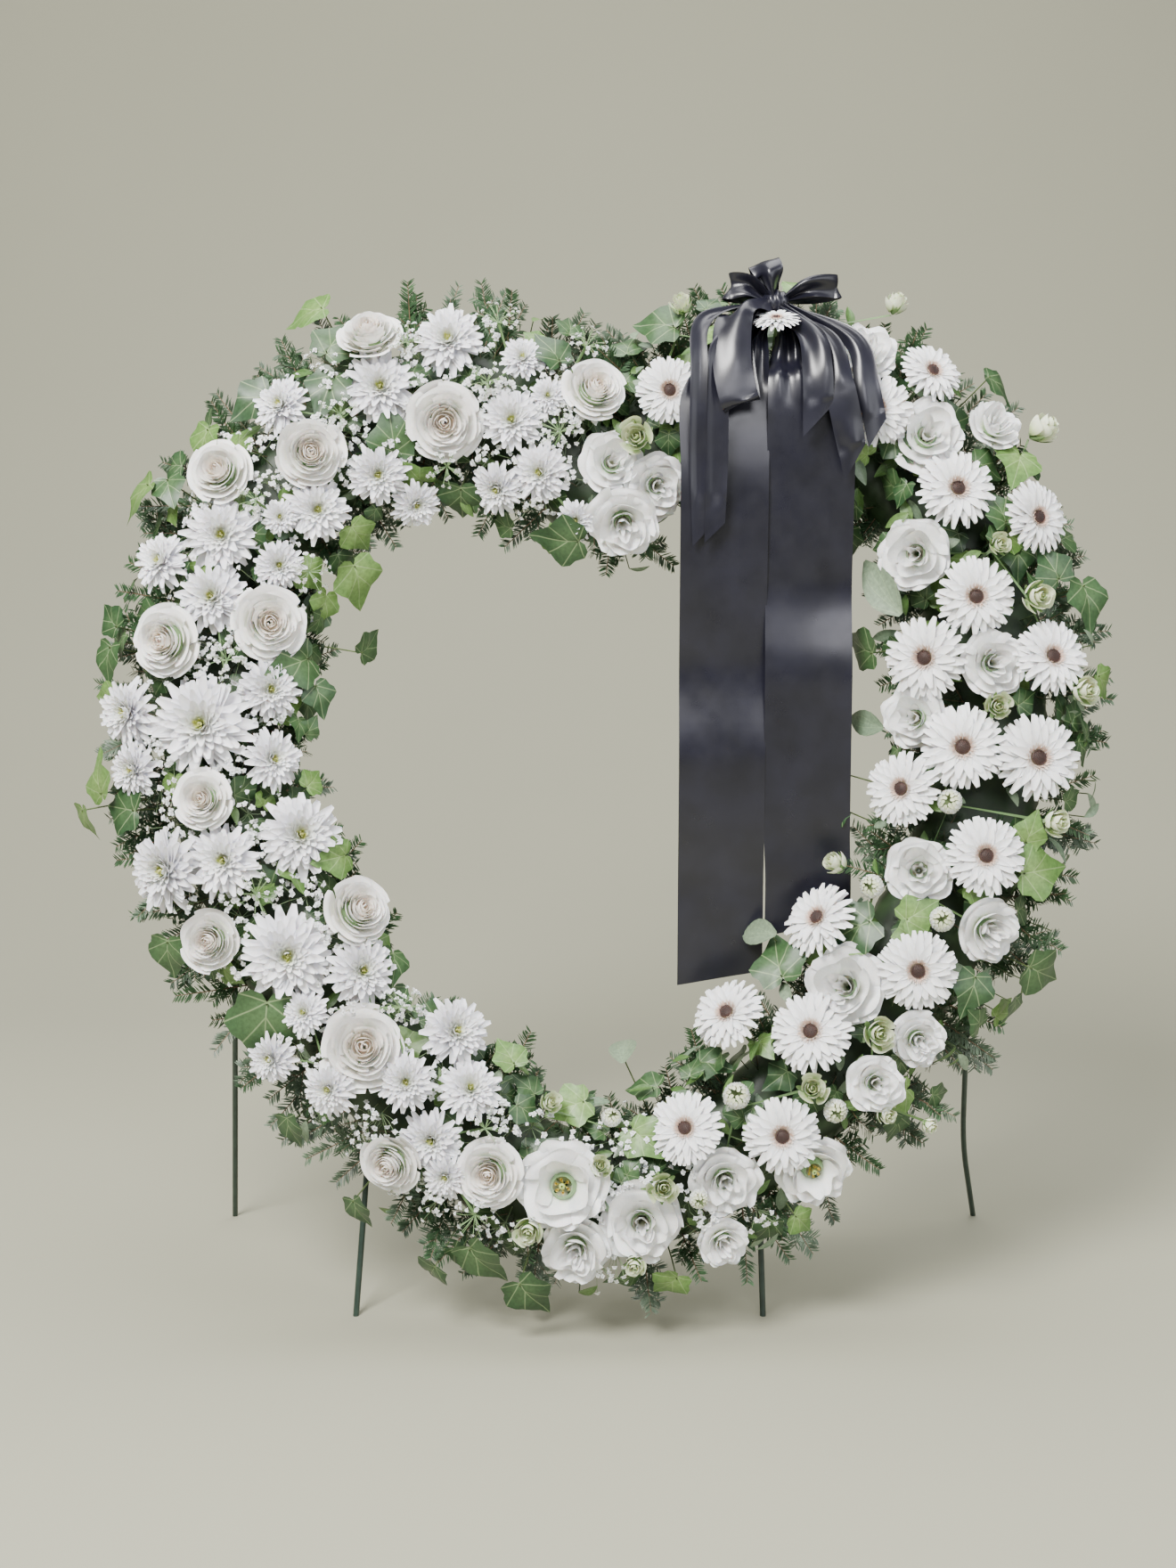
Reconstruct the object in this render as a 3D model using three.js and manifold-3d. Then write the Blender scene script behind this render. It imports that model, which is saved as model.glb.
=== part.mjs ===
// A heart-shaped memorial wreath: a floral foam heart on a tray and a four-legged rod stand, bedded in fir
// and ivy, with roses and spray chrysanthemums on the left, gerberas and lisianthus on the right, and a satin
// bow with two long tails. Millimetres, +Z up, the front faces -Y. The heart is worked out flat, with u to the
// right, v up along the leaning heart and n out of its front, and then leaned back as one group.
import * as THREE from 'three';
import { mergeVertices } from 'three/addons/utils/BufferGeometryUtils.js';
import Module from 'manifold-3d';

const wasm = await Module();
wasm.setup();

// Driving dimensions.
const LEAN = THREE.MathUtils.degToRad(12);
const FOAM_HALF = 55;
const FOAM_DEEP = 50;
const FOAM_CHAMFER = 14;
const TRAY_THICK = 3.6;
const TRAY_RIM = 4;
const GAP = 0.4;
const ROD = 3.5;
const BAND_HALF = 150;
const DOME_EDGE = 48;
const DOME_TOP = 124;
const RIBBON_WIDE = 97;
const RIBBON_THICK = 1.6;
const FLOOR_CLEAR = 8;
const SLIVER = 0.12;
const SECTORS = 8;

// The right half of the heart's middle line from the notch to the foot, as [across, up].
const HALF_HEART = [
  [0, 956], [69, 1011], [147, 1044], [245, 1036], [338, 973], [407, 875], [438, 762],
  [439, 649], [410, 527], [343, 399], [245, 282], [127, 189], [0, 144],
];

// How a point of the photograph lies on the heart: its pixel axis and mid height, and the millimetres a pixel.
const PHOTO = { axis: 680, middle: 880, middleUp: 605, scale: 0.98 };

// Flower heads as [photo x, photo y, photo width]. A fourth value lifts a head above the dome.
const ROSES = [
  [411, 365, 68], [498, 471, 80], [347, 506, 72], [242, 525, 68], [669, 430, 68], [183, 719, 74],
  [301, 698, 77], [228, 897, 62], [236, 1055, 64], [404, 1020, 72], [410, 1173, 88], [438, 1303, 64],
  [550, 1313, 70],
];
const GERBERAS = [
  [752, 434, 76], [1051, 409, 74], [985, 455, 80], [1076, 546, 88], [1168, 577, 82], [1096, 668, 88],
  [1040, 736, 92], [1182, 736, 86], [1080, 838, 94], [1164, 850, 96], [1014, 884, 84], [1104, 960, 88],
  [920, 1030, 86], [1027, 1088, 88], [817, 1137, 84], [908, 1156, 90], [768, 1263, 82], [875, 1271, 86],
];
const BOW_GERBERA = [870, 362, 56, 34];
const MUMS = [
  [501, 373, 72], [424, 428, 74], [310, 448, 60], [585, 394, 46], [573, 466, 64], [614, 438, 38],
  [605, 526, 62], [556, 542, 56], [646, 579, 42], [421, 527, 62], [463, 557, 50], [353, 568, 66],
  [312, 578, 40], [245, 597, 76], [310, 631, 52], [175, 626, 62], [235, 668, 74], [301, 772, 66],
  [224, 812, 102], [138, 798, 72], [145, 862, 58], [304, 851, 62], [336, 936, 86], [183, 976, 84],
  [251, 965, 76], [323, 1072, 92], [407, 1089, 72], [342, 1135, 48], [304, 1187, 52], [372, 1219, 68],
  [458, 1211, 70], [511, 1157, 70], [528, 1220, 66], [485, 1277, 62], [501, 1317, 50],
];
const LISIANTHUS = [
  [687, 514, 64], [699, 584, 80], [738, 540, 66], [978, 386, 66], [1045, 482, 76], [1125, 467, 58],
  [1031, 617, 76], [1117, 742, 70], [1030, 803, 66], [1032, 976, 68], [1110, 1043, 68], [948, 1106, 86],
  [978, 1212, 78], [1029, 1166, 56], [631, 1327, 98], [645, 1399, 72], [719, 1369, 80], [812, 1322, 70],
  [912, 1312, 74], [811, 1391, 54],
];
const BUDS = [
  [715, 489, 44], [767, 331, 28], [1014, 325, 28], [1181, 470, 38], [1122, 611, 28], [1164, 668, 40],
  [1118, 793, 34], [1216, 775, 38], [1182, 922, 34], [942, 969, 30], [981, 1157, 42], [908, 1219, 38],
  [743, 1327, 40], [594, 1374, 36], [617, 1237, 28], [673, 1304, 28], [711, 1413, 26], [990, 1247, 26],
  [1041, 1261, 20],
];
const SANTINI = [
  [1065, 899, 35], [978, 994, 34], [1055, 1031, 35], [825, 1227, 38], [686, 1252, 28], [935, 1244, 34],
  [783, 1341, 28],
];
const GYPSOPHILA = [
  [455, 378], [558, 353], [546, 425], [658, 379], [628, 482], [380, 462], [500, 520], [285, 560], [345, 640],
  [255, 740], [290, 1003], [451, 1128], [546, 1262], [534, 1359],
];

// Ivy leaves as [photo x, photo y, photo width, the way the tip points in degrees from right, lift].
const IVY = [
  [342, 328, 56, 175], [366, 378, 50, 60], [367, 424, 56, 250], [284, 435, 56, 215], [222, 481, 46, 250],
  [146, 540, 58, 200], [180, 536, 40, 290], [439, 491, 56, 100], [622, 388, 46, 120], [514, 548, 50, 260],
  [395, 638, 60, 300], [637, 603, 60, 180], [404, 720, 40, 20], [333, 740, 60, 200], [352, 773, 40, 290],
  [117, 693, 38, 140], [112, 730, 46, 250], [100, 878, 56, 110], [80, 914, 44, 250], [137, 907, 56, 170],
  [379, 961, 46, 190], [184, 1066, 50, 260], [299, 1141, 84, 265], [397, 1356, 40, 280], [484, 1428, 42, 230],
  [534, 1409, 60, 300], [589, 1448, 56, 300], [573, 1187, 40, 110], [586, 1242, 34, 330], [646, 1238, 48, 200],
  [717, 1272, 50, 320], [754, 1436, 44, 240], [896, 1367, 34, 320], [794, 1187, 60, 80], [876, 1085, 62, 110],
  [966, 1038, 60, 200], [1024, 1027, 44, 30], [1092, 1105, 50, 250], [1168, 1090, 56, 330], [1160, 978, 62, 10],
  [1155, 938, 40, 70], [1244, 760, 40, 330], [1228, 662, 58, 280], [1190, 638, 46, 120], [1152, 508, 50, 250],
  [1130, 411, 46, 340], [1130, 574, 44, 110], [909, 308, 56, 70], [748, 352, 54, 160], [946, 864, 44, 150],
  [957, 916, 40, 200], [844, 1187, 60, 70], [861, 1048, 44, 160], [979, 722, 50, 180], [1001, 664, 56, 135],
  [985, 808, 40, 170], [700, 1185, 44, 100],
];

const COLOURS = {
  stand: 0x2b2f2e, tray: 0x1d2420, foam: 0x3f6b43, greens: 0x2f4a31, rose: 0xf1e6e2, gerbera: 0xf3eef0,
  mum: 0xeeeaf4, lisianthus: 0xf0ece8, satin: 0x14151d,
};

// Seeded draws, so that the wreath grows the same each time.
let seed = 20417;
function draw(low = 0, high = 1) {
  seed = (seed * 1664525 + 1013904223) >>> 0;
  return low + ((high - low) * seed) / 4294967296;
}

const vec = (x, y, z) => new THREE.Vector3(x, y, z);

// The heart's middle line, closed and smooth, sampled evenly enough to search.
const MIDDLE = [
  ...HALF_HEART.map(([u, v]) => vec(-u, v, 0)),
  ...HALF_HEART.slice(1, -1).reverse().map(([u, v]) => vec(u, v, 0)),
];
const SAMPLES = 480;

function middleAt(t) {
  const count = MIDDLE.length;
  const x = (((t % 1) + 1) % 1) * count;
  const i = Math.floor(x);
  const f = x - i;
  const [a, b, c, d] = [-1, 0, 1, 2].map((k) => MIDDLE[(i + k + count) % count]);
  const mix = (p, q, r, s) =>
    0.5 * (2 * q + (r - p) * f + (2 * p - 5 * q + 4 * r - s) * f * f + (3 * q - p - 3 * r + s) * f * f * f);
  return vec(mix(a.x, b.x, c.x, d.x), mix(a.y, b.y, c.y, d.y), 0);
}

// The outward side of the line at t, level with the heart's face.
function outwardAt(t) {
  const step = 1 / SAMPLES;
  const along = middleAt(t + step).sub(middleAt(t - step)).normalize();
  return vec(along.y, -along.x, 0);
}

// The nearest place on the middle line to (u, v), with how far outside the line the point lies.
function nearest(u, v) {
  let best = { t: 0, away: Infinity };
  for (let i = 0; i < SAMPLES; i++) {
    const away = middleAt(i / SAMPLES).distanceTo(vec(u, v, 0));
    if (away < best.away) best = { t: i / SAMPLES, away };
  }
  const outward = outwardAt(best.t);
  const offset = vec(u, v, 0).sub(middleAt(best.t)).dot(outward);
  return { t: best.t, outward, offset };
}

// The dome that the heads stand on: its height above the tray, and which way it faces.
function dome(u, v) {
  const { t, outward, offset } = nearest(u, v);
  const share = THREE.MathUtils.clamp(offset / BAND_HALF, -0.97, 0.97);
  const height = DOME_EDGE + (DOME_TOP - DOME_EDGE) * Math.sqrt(1 - share * share);
  const tilt = 0.8 * Math.asin(share);
  const faces = outward.clone().multiplyScalar(Math.sin(tilt)).add(vec(0, 0, Math.cos(tilt)));
  return { t, offset, outward, height, faces };
}

function fromPhoto(x, y) {
  return [(x - PHOTO.axis) * PHOTO.scale, PHOTO.middleUp + (PHOTO.middle - y) * PHOTO.scale];
}

// A point of the room, such as a foot on the floor, in the leaning heart's own u, v, n.
function fromRoom(x, y, z) {
  return vec(x, y * Math.sin(LEAN) + z * Math.cos(LEAN), z * Math.sin(LEAN) - y * Math.cos(LEAN));
}

const roomHeight = (p) => p.y * Math.cos(LEAN) + p.z * Math.sin(LEAN);

// A solid from a geometry, its vertices merged.
function solid(geometry) {
  geometry.deleteAttribute('normal');
  geometry.deleteAttribute('uv');
  const merged = mergeVertices(geometry, 1e-4);
  return new wasm.Manifold(
    new wasm.Mesh({
      numProp: 3,
      vertProperties: new Float32Array(merged.attributes.position.array),
      triVerts: new Uint32Array(merged.index.array),
    }),
  );
}

function fromFaces(points, faces) {
  const geometry = new THREE.BufferGeometry().setFromPoints(points);
  geometry.setIndex(faces.flat());
  return solid(geometry);
}

// A closed skin from a bottom point over loops of points to a top point. Loops may differ in their counts.
function rings(bottom, loops, top) {
  const points = [bottom, ...loops.flat(), top];
  const last = points.length - 1;
  const starts = loops.map((_, k) => 1 + loops.slice(0, k).reduce((sum, loop) => sum + loop.length, 0));
  const at = (k, i) => starts[k] + (i % loops[k].length);
  const faces = [];
  for (let i = 0; i < loops[0].length; i++) faces.push([0, at(0, i + 1), at(0, i)]);
  const end = loops.length - 1;
  for (let i = 0; i < loops[end].length; i++) faces.push([last, at(end, i), at(end, i + 1)]);
  for (let k = 0; k < end; k++) {
    const [low, high] = [loops[k].length, loops[k + 1].length];
    for (let i = 0, j = 0; i < low || j < high;) {
      const takeLow = j >= high || (i < low && (i + 1) / low <= (j + 1) / high);
      faces.push(takeLow ? [at(k, i), at(k, i + 1), at(k + 1, j)] : [at(k, i), at(k + 1, j + 1), at(k + 1, j)]);
      if (takeLow) i++;
      else j++;
    }
  }
  return fromFaces(points, faces);
}

// One ring of a bloom: tips and the notches between them take turns.
function star(count, tip, notch, tipHigh, notchHigh, turn = 0) {
  return Array.from({ length: count }, (_, i) => {
    const isTip = (i + turn) % 2 === 0;
    const angle = (2 * Math.PI * i) / count;
    const radius = isTip ? tip : notch;
    return vec(radius * Math.cos(angle), radius * Math.sin(angle), isTip ? tipHigh : notchHigh);
  });
}

const circle = (count, radius, high) => star(count, radius, radius, high, high);

// The forms of the heads, each of radius r.
function gerbera(r) {
  const loops = [star(20, r, 0.6 * r, 0.04 * r, -0.03 * r), circle(20, 0.27 * r, 0.1 * r)];
  return { loops, middle: 0.17 * r, neck: 0.22 * r };
}

function chrysanthemum(r) {
  const petals = r < 25 ? 10 : 14;
  const loops = [star(petals, r, 0.64 * r, 0.02 * r, -0.02 * r)];
  if (r > 36) loops.push(star(petals, 0.58 * r, 0.68 * r, 0.13 * r, 0.1 * r));
  loops.push(star(petals, 0.4 * r, 0.62 * r, 0.2 * r, 0.27 * r));
  return { loops, middle: 0.16 * r, neck: 0.3 * r };
}

function rose(r) {
  const loops = [
    circle(10, 0.62 * r, -0.4 * r),
    star(10, r, 0.86 * r, 0.02 * r, 0.12 * r),
    star(10, 0.62 * r, 0.72 * r, 0.16 * r, 0.24 * r),
    circle(10, 0.42 * r, 0.12 * r),
    star(10, 0.36 * r, 0.26 * r, 0.34 * r, 0.3 * r),
  ];
  return { loops, middle: 0.14 * r, neck: 0.72 * r };
}

function lisianthus(r) {
  const loops = [
    circle(10, 0.5 * r, -0.32 * r),
    star(10, r, 0.76 * r, 0.12 * r, -0.06 * r),
    star(10, 0.34 * r, 0.54 * r, 0.08 * r, 0.24 * r),
  ];
  return { loops, middle: -0.02 * r, neck: 0.62 * r };
}

function bud(r) {
  return { loops: [circle(5, 0.85 * r, -0.4 * r), star(5, r, 0.9 * r, 0.45 * r, 0.3 * r)], middle: 1.1 * r, neck: r };
}

function santini(r) {
  const loops = [star(10, r, 0.8 * r, -0.05 * r, 0), star(10, 0.5 * r, 0.62 * r, 0.42 * r, 0.36 * r)];
  return { loops, middle: 0.5 * r, neck: 0.5 * r };
}

// A cloud of gypsophila as five spokes that each end in a floret.
function gypsophila(r) {
  const loop = [];
  for (let i = 0; i < 5; i++) {
    for (const [turn, far, high] of [[-0.62, 0.16, 0.02], [-0.14, 0.9, 0.2], [0.14, 0.96, 0.3]]) {
      const angle = (2 * Math.PI * i) / 5 + turn;
      loop.push(vec(far * r * Math.cos(angle), far * r * Math.sin(angle), high * r));
    }
  }
  return { loops: [loop], middle: 0.12 * r, neck: 0.16 * r };
}

// Three-sided loops along a stem, worked back from the turn that its upper end has, so that it never twists.
function stemLoops(points, radius, turn, sides = 3, foot = radius) {
  const loops = [];
  const spin = turn.clone();
  for (let i = points.length - 1; i >= 0; i--) {
    const from = points[Math.max(0, i - 1)];
    const to = points[Math.min(points.length - 1, i + 1)];
    const before = vec(0, 0, 1).applyQuaternion(spin);
    const along = to.clone().sub(from).normalize();
    spin.premultiply(new THREE.Quaternion().setFromUnitVectors(before, along));
    loops.unshift(circle(sides, i ? radius : foot, 0).map((q) => q.applyQuaternion(spin).add(points[i])));
  }
  return loops;
}

const facing = (way) => new THREE.Quaternion().setFromUnitVectors(vec(0, 0, 1), way.clone().normalize());

function rod(points, radius, sides = 3, foot = radius, turned = null) {
  const last = points[points.length - 1];
  const turn = turned || facing(last.clone().sub(points[points.length - 2]));
  return rings(points[0], stemLoops(points, radius, turn, sides, foot), last);
}

// A head or a blade on its stem in one skin. A form holds its loops from the stem up, the height of its
// middle and the depth of its neck, where the stem takes hold. The line runs from the stem's foot to the neck.
function stemmed({ loops, middle, neck }, place, line, radius, atFoot = radius) {
  const turn = new THREE.Quaternion().setFromRotationMatrix(place);
  const upper = [circle(3, radius, -neck), ...loops].map((loop) => loop.map((p) => p.clone().applyMatrix4(place)));
  const lower = line.length ? stemLoops(line, radius, turn, 3, atFoot).slice(0, -1) : [];
  const foot = line.length ? line[0] : vec(0, 0, -neck).applyMatrix4(place);
  return rings(foot, [...lower, ...upper], vec(0, 0, middle).applyMatrix4(place));
}

function placeAt(at, way, spin = 0) {
  const turn = facing(way).multiply(new THREE.Quaternion().setFromAxisAngle(vec(0, 0, 1), spin));
  return new THREE.Matrix4().compose(at, turn, vec(1, 1, 1));
}

// A five-lobed ivy blade whose tip lies along +X, arched and thinning to its rim.
const IVY_LOBES = [
  [0.8, 0], [0.28, 0.26], [0.06, 0.54], [-0.3, 0.3], [-0.18, 0], [-0.3, -0.3], [0.06, -0.54], [0.28, -0.26],
];
function ivy(size) {
  const rim = IVY_LOBES.map(([x, y]) => vec(x * size, y * size, -0.12 * size * Math.hypot(x, y)));
  return { loops: [rim], middle: 1.6, neck: 1.4 };
}

// A fir spray along +X from the origin: a three-sided twig with needles raised from its two upper facets.
function firSpray(length, needle, count = 6) {
  const points = [];
  for (let i = 0; i <= count; i++) {
    const x = (length - needle * 0.55) * (i / count);
    const thin = 1 - 0.5 * (i / count);
    points.push(vec(x, 0, 1.8 * thin), vec(x, 2 * thin, -1.4 * thin), vec(x, -2 * thin, -1.4 * thin));
  }
  const faces = [[0, 1, 2]];
  for (let i = 0; i < count; i++) {
    const [top, left, right] = [3 * i, 3 * i + 1, 3 * i + 2];
    const reach = needle * (i === count - 1 ? 0.75 : 1);
    const x = points[top + 3].x + reach * 0.55;
    for (const [side, quad] of [
      [1, [top, top + 3, left + 3, left]],
      [-1, [right, right + 3, top + 3, top]],
    ]) {
      const tip = points.push(vec(x, side * reach * 0.78, 0.5)) - 1;
      quad.forEach((q, k) => faces.push([q, quad[(k + 1) % 4], tip]));
    }
    faces.push([left, left + 3, right + 3], [left, right + 3, right]);
  }
  const end = 3 * count;
  const tip = points.push(vec(length, 0, 0)) - 1;
  faces.push([end + 1, end, tip], [end + 2, end + 1, tip], [end, end + 2, tip]);
  return fromFaces(points, faces);
}

// Lays a shape made along +X, its upper side +Z, from a place along a way, with its upper side towards up.
function laid(made, at, along, up) {
  const x = along.clone().normalize();
  const y = up.clone().cross(x).normalize();
  const turn = new THREE.Matrix4().makeBasis(x, y, x.clone().cross(y)).setPosition(at);
  return made.transform(turn.toArray());
}

// A band of cloth along the points, as wide as told at each, its width laid along across.
function strip(points, widths, across, thick = RIBBON_THICK) {
  const loops = points.map((p, i) => {
    const from = points[Math.max(0, i - 1)];
    const to = points[Math.min(points.length - 1, i + 1)];
    const along = to.clone().sub(from).normalize();
    const side = across.clone().addScaledVector(along, -across.dot(along)).setLength(widths[i] / 2);
    const face = along.clone().cross(side).setLength(thick / 2);
    return [[1, 1], [-1, 1], [-1, -1], [1, -1]].map(([s, f]) =>
      p.clone().addScaledVector(side, s).addScaledVector(face, f));
  });
  return rings(points[0], loops, points[points.length - 1]);
}

// The solids of each node, and what is already set down, so that what comes later is bent clear of it.
const nodes = new Map();
const placed = [];

function mark(node, made) {
  placed.push({ node, made, box: made.boundingBox() });
}

// Adds a solid to its node, and marks it as set down unless its place is marked already or is to be cut into.
function put(node, made, marked = true) {
  if (!nodes.has(node)) nodes.set(node, []);
  nodes.get(node).push(made);
  if (marked) mark(node, made);
}

function crosses(made, node) {
  const box = made.boundingBox();
  const meets = (other) => [0, 1, 2].every((k) => box.min[k] <= other.max[k] && other.min[k] <= box.max[k]);
  return placed.some(
    (other) => other.node !== node && meets(other.box) && !made.intersect(other.made).isEmpty(),
  );
}

// The heart is swept in straight runs between stations, so that foam, tray and greens fit against each other.
const STATIONS = 24;
const stationAt = (i, offset, height) =>
  middleAt(i / STATIONS).addScaledVector(outwardAt(i / STATIONS), offset).setZ(height);
function between(x, offset, height) {
  const i = Math.floor(x);
  return stationAt(i, offset, height).lerp(stationAt(i + 1, offset, height), x - i);
}

// Sweeps a profile of [offset from the middle line, height] over the stations, which close on themselves or
// end. Where tufts are asked for, the named facets rise to a point each.
function sweep(profile, stations, closed = true, tufts = []) {
  const count = profile.length;
  const steps = closed ? stations.length : stations.length - 1;
  const points = stations.flatMap((x) => profile.map(([offset, height]) => between(x, offset, height)));
  const at = (i, k) => (i % stations.length) * count + (k % count);
  const faces = [];
  for (let i = 0; i < steps; i++) {
    for (let k = 0; k < count; k++) {
      const quad = [at(i, k), at(i + 1, k), at(i + 1, k + 1), at(i, k + 1)];
      if (tufts.includes(k)) {
        const corners = quad.map((q) => points[q]);
        const along = corners[1].clone().sub(corners[0]);
        const out = along.clone().cross(corners[3].clone().sub(corners[0])).setLength(draw(8, 13));
        const middle = corners.reduce((sum, p) => sum.add(p), vec(0, 0, 0)).divideScalar(4);
        const tip = points.push(middle.add(out).addScaledVector(along, draw(-0.25, 0.25))) - 1;
        quad.forEach((q, j) => faces.push([q, quad[(j + 1) % 4], tip]));
      } else {
        // The cut across a facet runs the same way on both sides of a fit, so that neighbours never touch.
        const falls = profile[k][1] > profile[(k + 1) % count][1];
        const [a, b, c, d] = falls ? quad : [...quad.slice(1), quad[0]];
        faces.push([a, b, c], [a, c, d]);
      }
    }
  }
  if (!closed) {
    const outline = profile.map(([offset, height]) => new THREE.Vector2(offset, height));
    for (const [a, b, c] of THREE.ShapeUtils.triangulateShape(outline, [])) {
      faces.push([at(0, a), at(0, b), at(0, c)], [at(steps, a), at(steps, c), at(steps, b)]);
    }
  }
  return fromFaces(points, faces);
}
const ALL_ROUND = Array.from({ length: STATIONS }, (_, i) => i);

// Foam, tray and stand.
const FOAM = [
  [-FOAM_HALF, 0], [FOAM_HALF, 0], [FOAM_HALF, FOAM_DEEP - 12], [FOAM_HALF - FOAM_CHAMFER, FOAM_DEEP],
  [-FOAM_HALF + FOAM_CHAMFER, FOAM_DEEP], [-FOAM_HALF, FOAM_DEEP - 12],
];
const TRAY_HALF = FOAM_HALF + TRAY_RIM;
const TRAY = [
  [-TRAY_HALF, -GAP - TRAY_THICK], [TRAY_HALF, -GAP - TRAY_THICK], [TRAY_HALF, -GAP], [-TRAY_HALF, -GAP],
];
const ROD_LEVEL = -GAP - TRAY_THICK - GAP - ROD;
put('foam_heart', sweep(FOAM, ALL_ROUND), false);
put('tray', sweep(TRAY, ALL_ROUND));

// The legs of the stand as their bend points, from the ring of rod to the floor.
const FRONT_FEET = 6;
const REAR_FEET = 336;
const LEGS = [
  [vec(-265, 306, ROD_LEVEL), fromRoom(-287, FRONT_FEET, -12)],
  [vec(175, 227, ROD_LEVEL), fromRoom(181, FRONT_FEET, -12)],
  [vec(-430, 600, ROD_LEVEL), fromRoom(-478, REAR_FEET, -12)],
  [vec(430, 600, ROD_LEVEL), fromRoom(452, REAR_FEET - 62, 118), fromRoom(482, REAR_FEET + 4, -12)],
];
const floorUp = [0, Math.cos(LEAN), Math.sin(LEAN)];
const ringRod = circle(5, ROD, 0).map((p) => [p.x, ROD_LEVEL + p.y]);
put('stand', sweep(ringRod, ALL_ROUND));
for (const leg of LEGS) {
  leg.splice(1, 0, leg[0].clone().lerp(leg[1], 0.05));
  put('stand', rod(leg, ROD, 5, 2.2).trimByPlane(floorUp, 0));
}

// The ribbon hangs plumb in front of the leaning heart. TAIL_LINE is its run in the room as [y, z], from just
// under the knot, and each tail's edges are the [left, right] of its first stations, then of all the rest.
const TAIL_LINE = [
  [107.3, 1129.6], [92, 1104], [74, 1080], [60, 1040], [56, 960], [55, 840], [57, 700], [55, 560],
];
const LEFT_EDGES = [[172, 186.5], [134, 178], [106, 178.5], [82, 82 + RIBBON_WIDE]];
const RIGHT_EDGES = [[189.5, 204], [194, 238], [187, 260], [181, 181 + RIBBON_WIDE]];
const KNOT = vec(188, 1140, 132);
function tail(node, edges, finish) {
  const line = [...TAIL_LINE, ...finish];
  const loops = line.map(([y, z], i) => {
    const [left, right] = edges[Math.min(i, edges.length - 1)];
    const skew = i === line.length - 1 ? 16 : 0;
    return [[left, 0, z - skew], [left, RIBBON_THICK, z - skew], [right, RIBBON_THICK, z], [right, 0, z]]
      .map(([x, back, high]) => fromRoom(x, y + back, high));
  });
  const middle = (loop) => loop.reduce((sum, p) => sum.add(p), vec(0, 0, 0)).divideScalar(4);
  put(node, rings(middle(loops[0]), loops, middle(loops[loops.length - 1])));
}
tail('ribbon_tail_left', LEFT_EDGES, [[57, 470], [62, 392]]);
tail('ribbon_tail_right', RIGHT_EDGES, [[56, 500], [60, 450]]);

const ACROSS = vec(1, 0, 0);
const BOW_STRIPS = [
  // Two small loops that stand up, a pleated one to the right, and a large one that hangs to the left.
  { across: vec(0.9, 0.3, 0.3), wide: [10, 30, 34, 30, 10],
    line: [[185, 1149, 140], [180, 1168, 154], [174, 1182, 142], [180, 1168, 128], [189, 1149, 124]] },
  { across: vec(0.3, 0.9, 0.3), wide: [8, 24, 30, 24, 8],
    line: [[177, 1144, 139], [156, 1154, 152], [136, 1154, 144], [156, 1150, 132], [177, 1146, 125]] },
  { across: vec(-0.2, 0.9, 0.3), wide: [8, 22, 26, 22, 8],
    line: [[199, 1144, 139], [226, 1154, 148], [256, 1156, 138], [228, 1150, 130], [199, 1144, 126]] },
  { across: vec(0.95, 0.3, 0), wide: [8, 38, 42, 42, 38, 8],
    line: [[180, 1133, 143], [142, 1116, 174], [136, 1060, 188], [146, 1016, 184], [141, 1090, 166],
      [176, 1134, 128]] },
  // Five ends that hang in front of the tails.
  { across: ACROSS, wide: [6, 15, 16, 16, 3],
    line: [[175, 1138, 133], [108, 1112, 168], [101, 1050, 176], [101, 960, 158], [104, 876, 139]] },
  { across: ACROSS, wide: [6, 18, 20, 20, 3],
    line: [[184, 1129, 136], [128, 1084, 180], [122, 1040, 183], [121, 950, 163], [119, 880, 147]] },
  { across: vec(0.98, 0.2, 0), wide: [7, 26, 30, 3],
    line: [[190, 1129, 138], [222, 1096, 172], [229, 1050, 184], [230, 998, 174]] },
  { across: vec(0.95, 0.3, 0), wide: [7, 24, 30, 28, 3],
    line: [[198, 1133, 137], [240, 1092, 166], [252, 1040, 180], [264, 990, 170], [272, 956, 160]] },
  { across: vec(0.95, 0.3, 0), wide: [7, 20, 24, 3],
    line: [[201, 1138, 131], [272, 1096, 148], [286, 1042, 158], [298, 990, 150]] },
];
const ellipse = (wide, tall, high) => circle(6, 1, high).map((p) => vec(p.x * wide, p.y * tall, high));
const knot = rings(vec(0, 0, -16), [ellipse(17, 14, -8), ellipse(16, 13, 8)], vec(0, 0, 14));
put('ribbon_bow', knot.translate(KNOT.toArray()));
for (const { line, wide, across } of BOW_STRIPS) {
  put('ribbon_bow', strip(line.map((p) => vec(...p)), wide, across));
}

// How each kind of head stands: its form, and how far above the dome.
const KINDS = {
  rose: { form: rose, rise: 12 },
  gerbera: { form: gerbera, rise: 8 },
  mum: { form: chrysanthemum, rise: 0 },
  lisianthus: { form: lisianthus, rise: -4 },
  bud: { form: bud, rise: 12 },
  santini: { form: santini, rise: 8 },
  gypsophila: { form: gypsophila, rise: 14 },
};

// Finds where a head stands as the photo shows it, a little smaller and higher each time it meets another's.
function settle(node, kind, [x, y, width = 46, lift = 0], way = null) {
  const { form, rise } = KINDS[kind];
  const [u, v] = fromPhoto(x, y);
  const here = dome(u, v);
  const faces = way || here.faces;
  const spin = draw(-0.3, 0.3);
  let radius = (width * PHOTO.scale) / 2;
  let high = here.height + rise + lift;
  const test = () => stemmed(form(radius * 1.02), placeAt(vec(u, v, high), faces, spin), [], 2);
  while (crosses(test(), '')) {
    radius *= 0.975;
    high += 2;
  }
  const place = placeAt(vec(u, v, high), faces, spin);
  const bloom = form(radius);
  mark(node, stemmed(bloom, place, [], 2));
  return { node, here, place, bloom, neck: vec(0, 0, -bloom.neck).applyMatrix4(place) };
}

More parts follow.
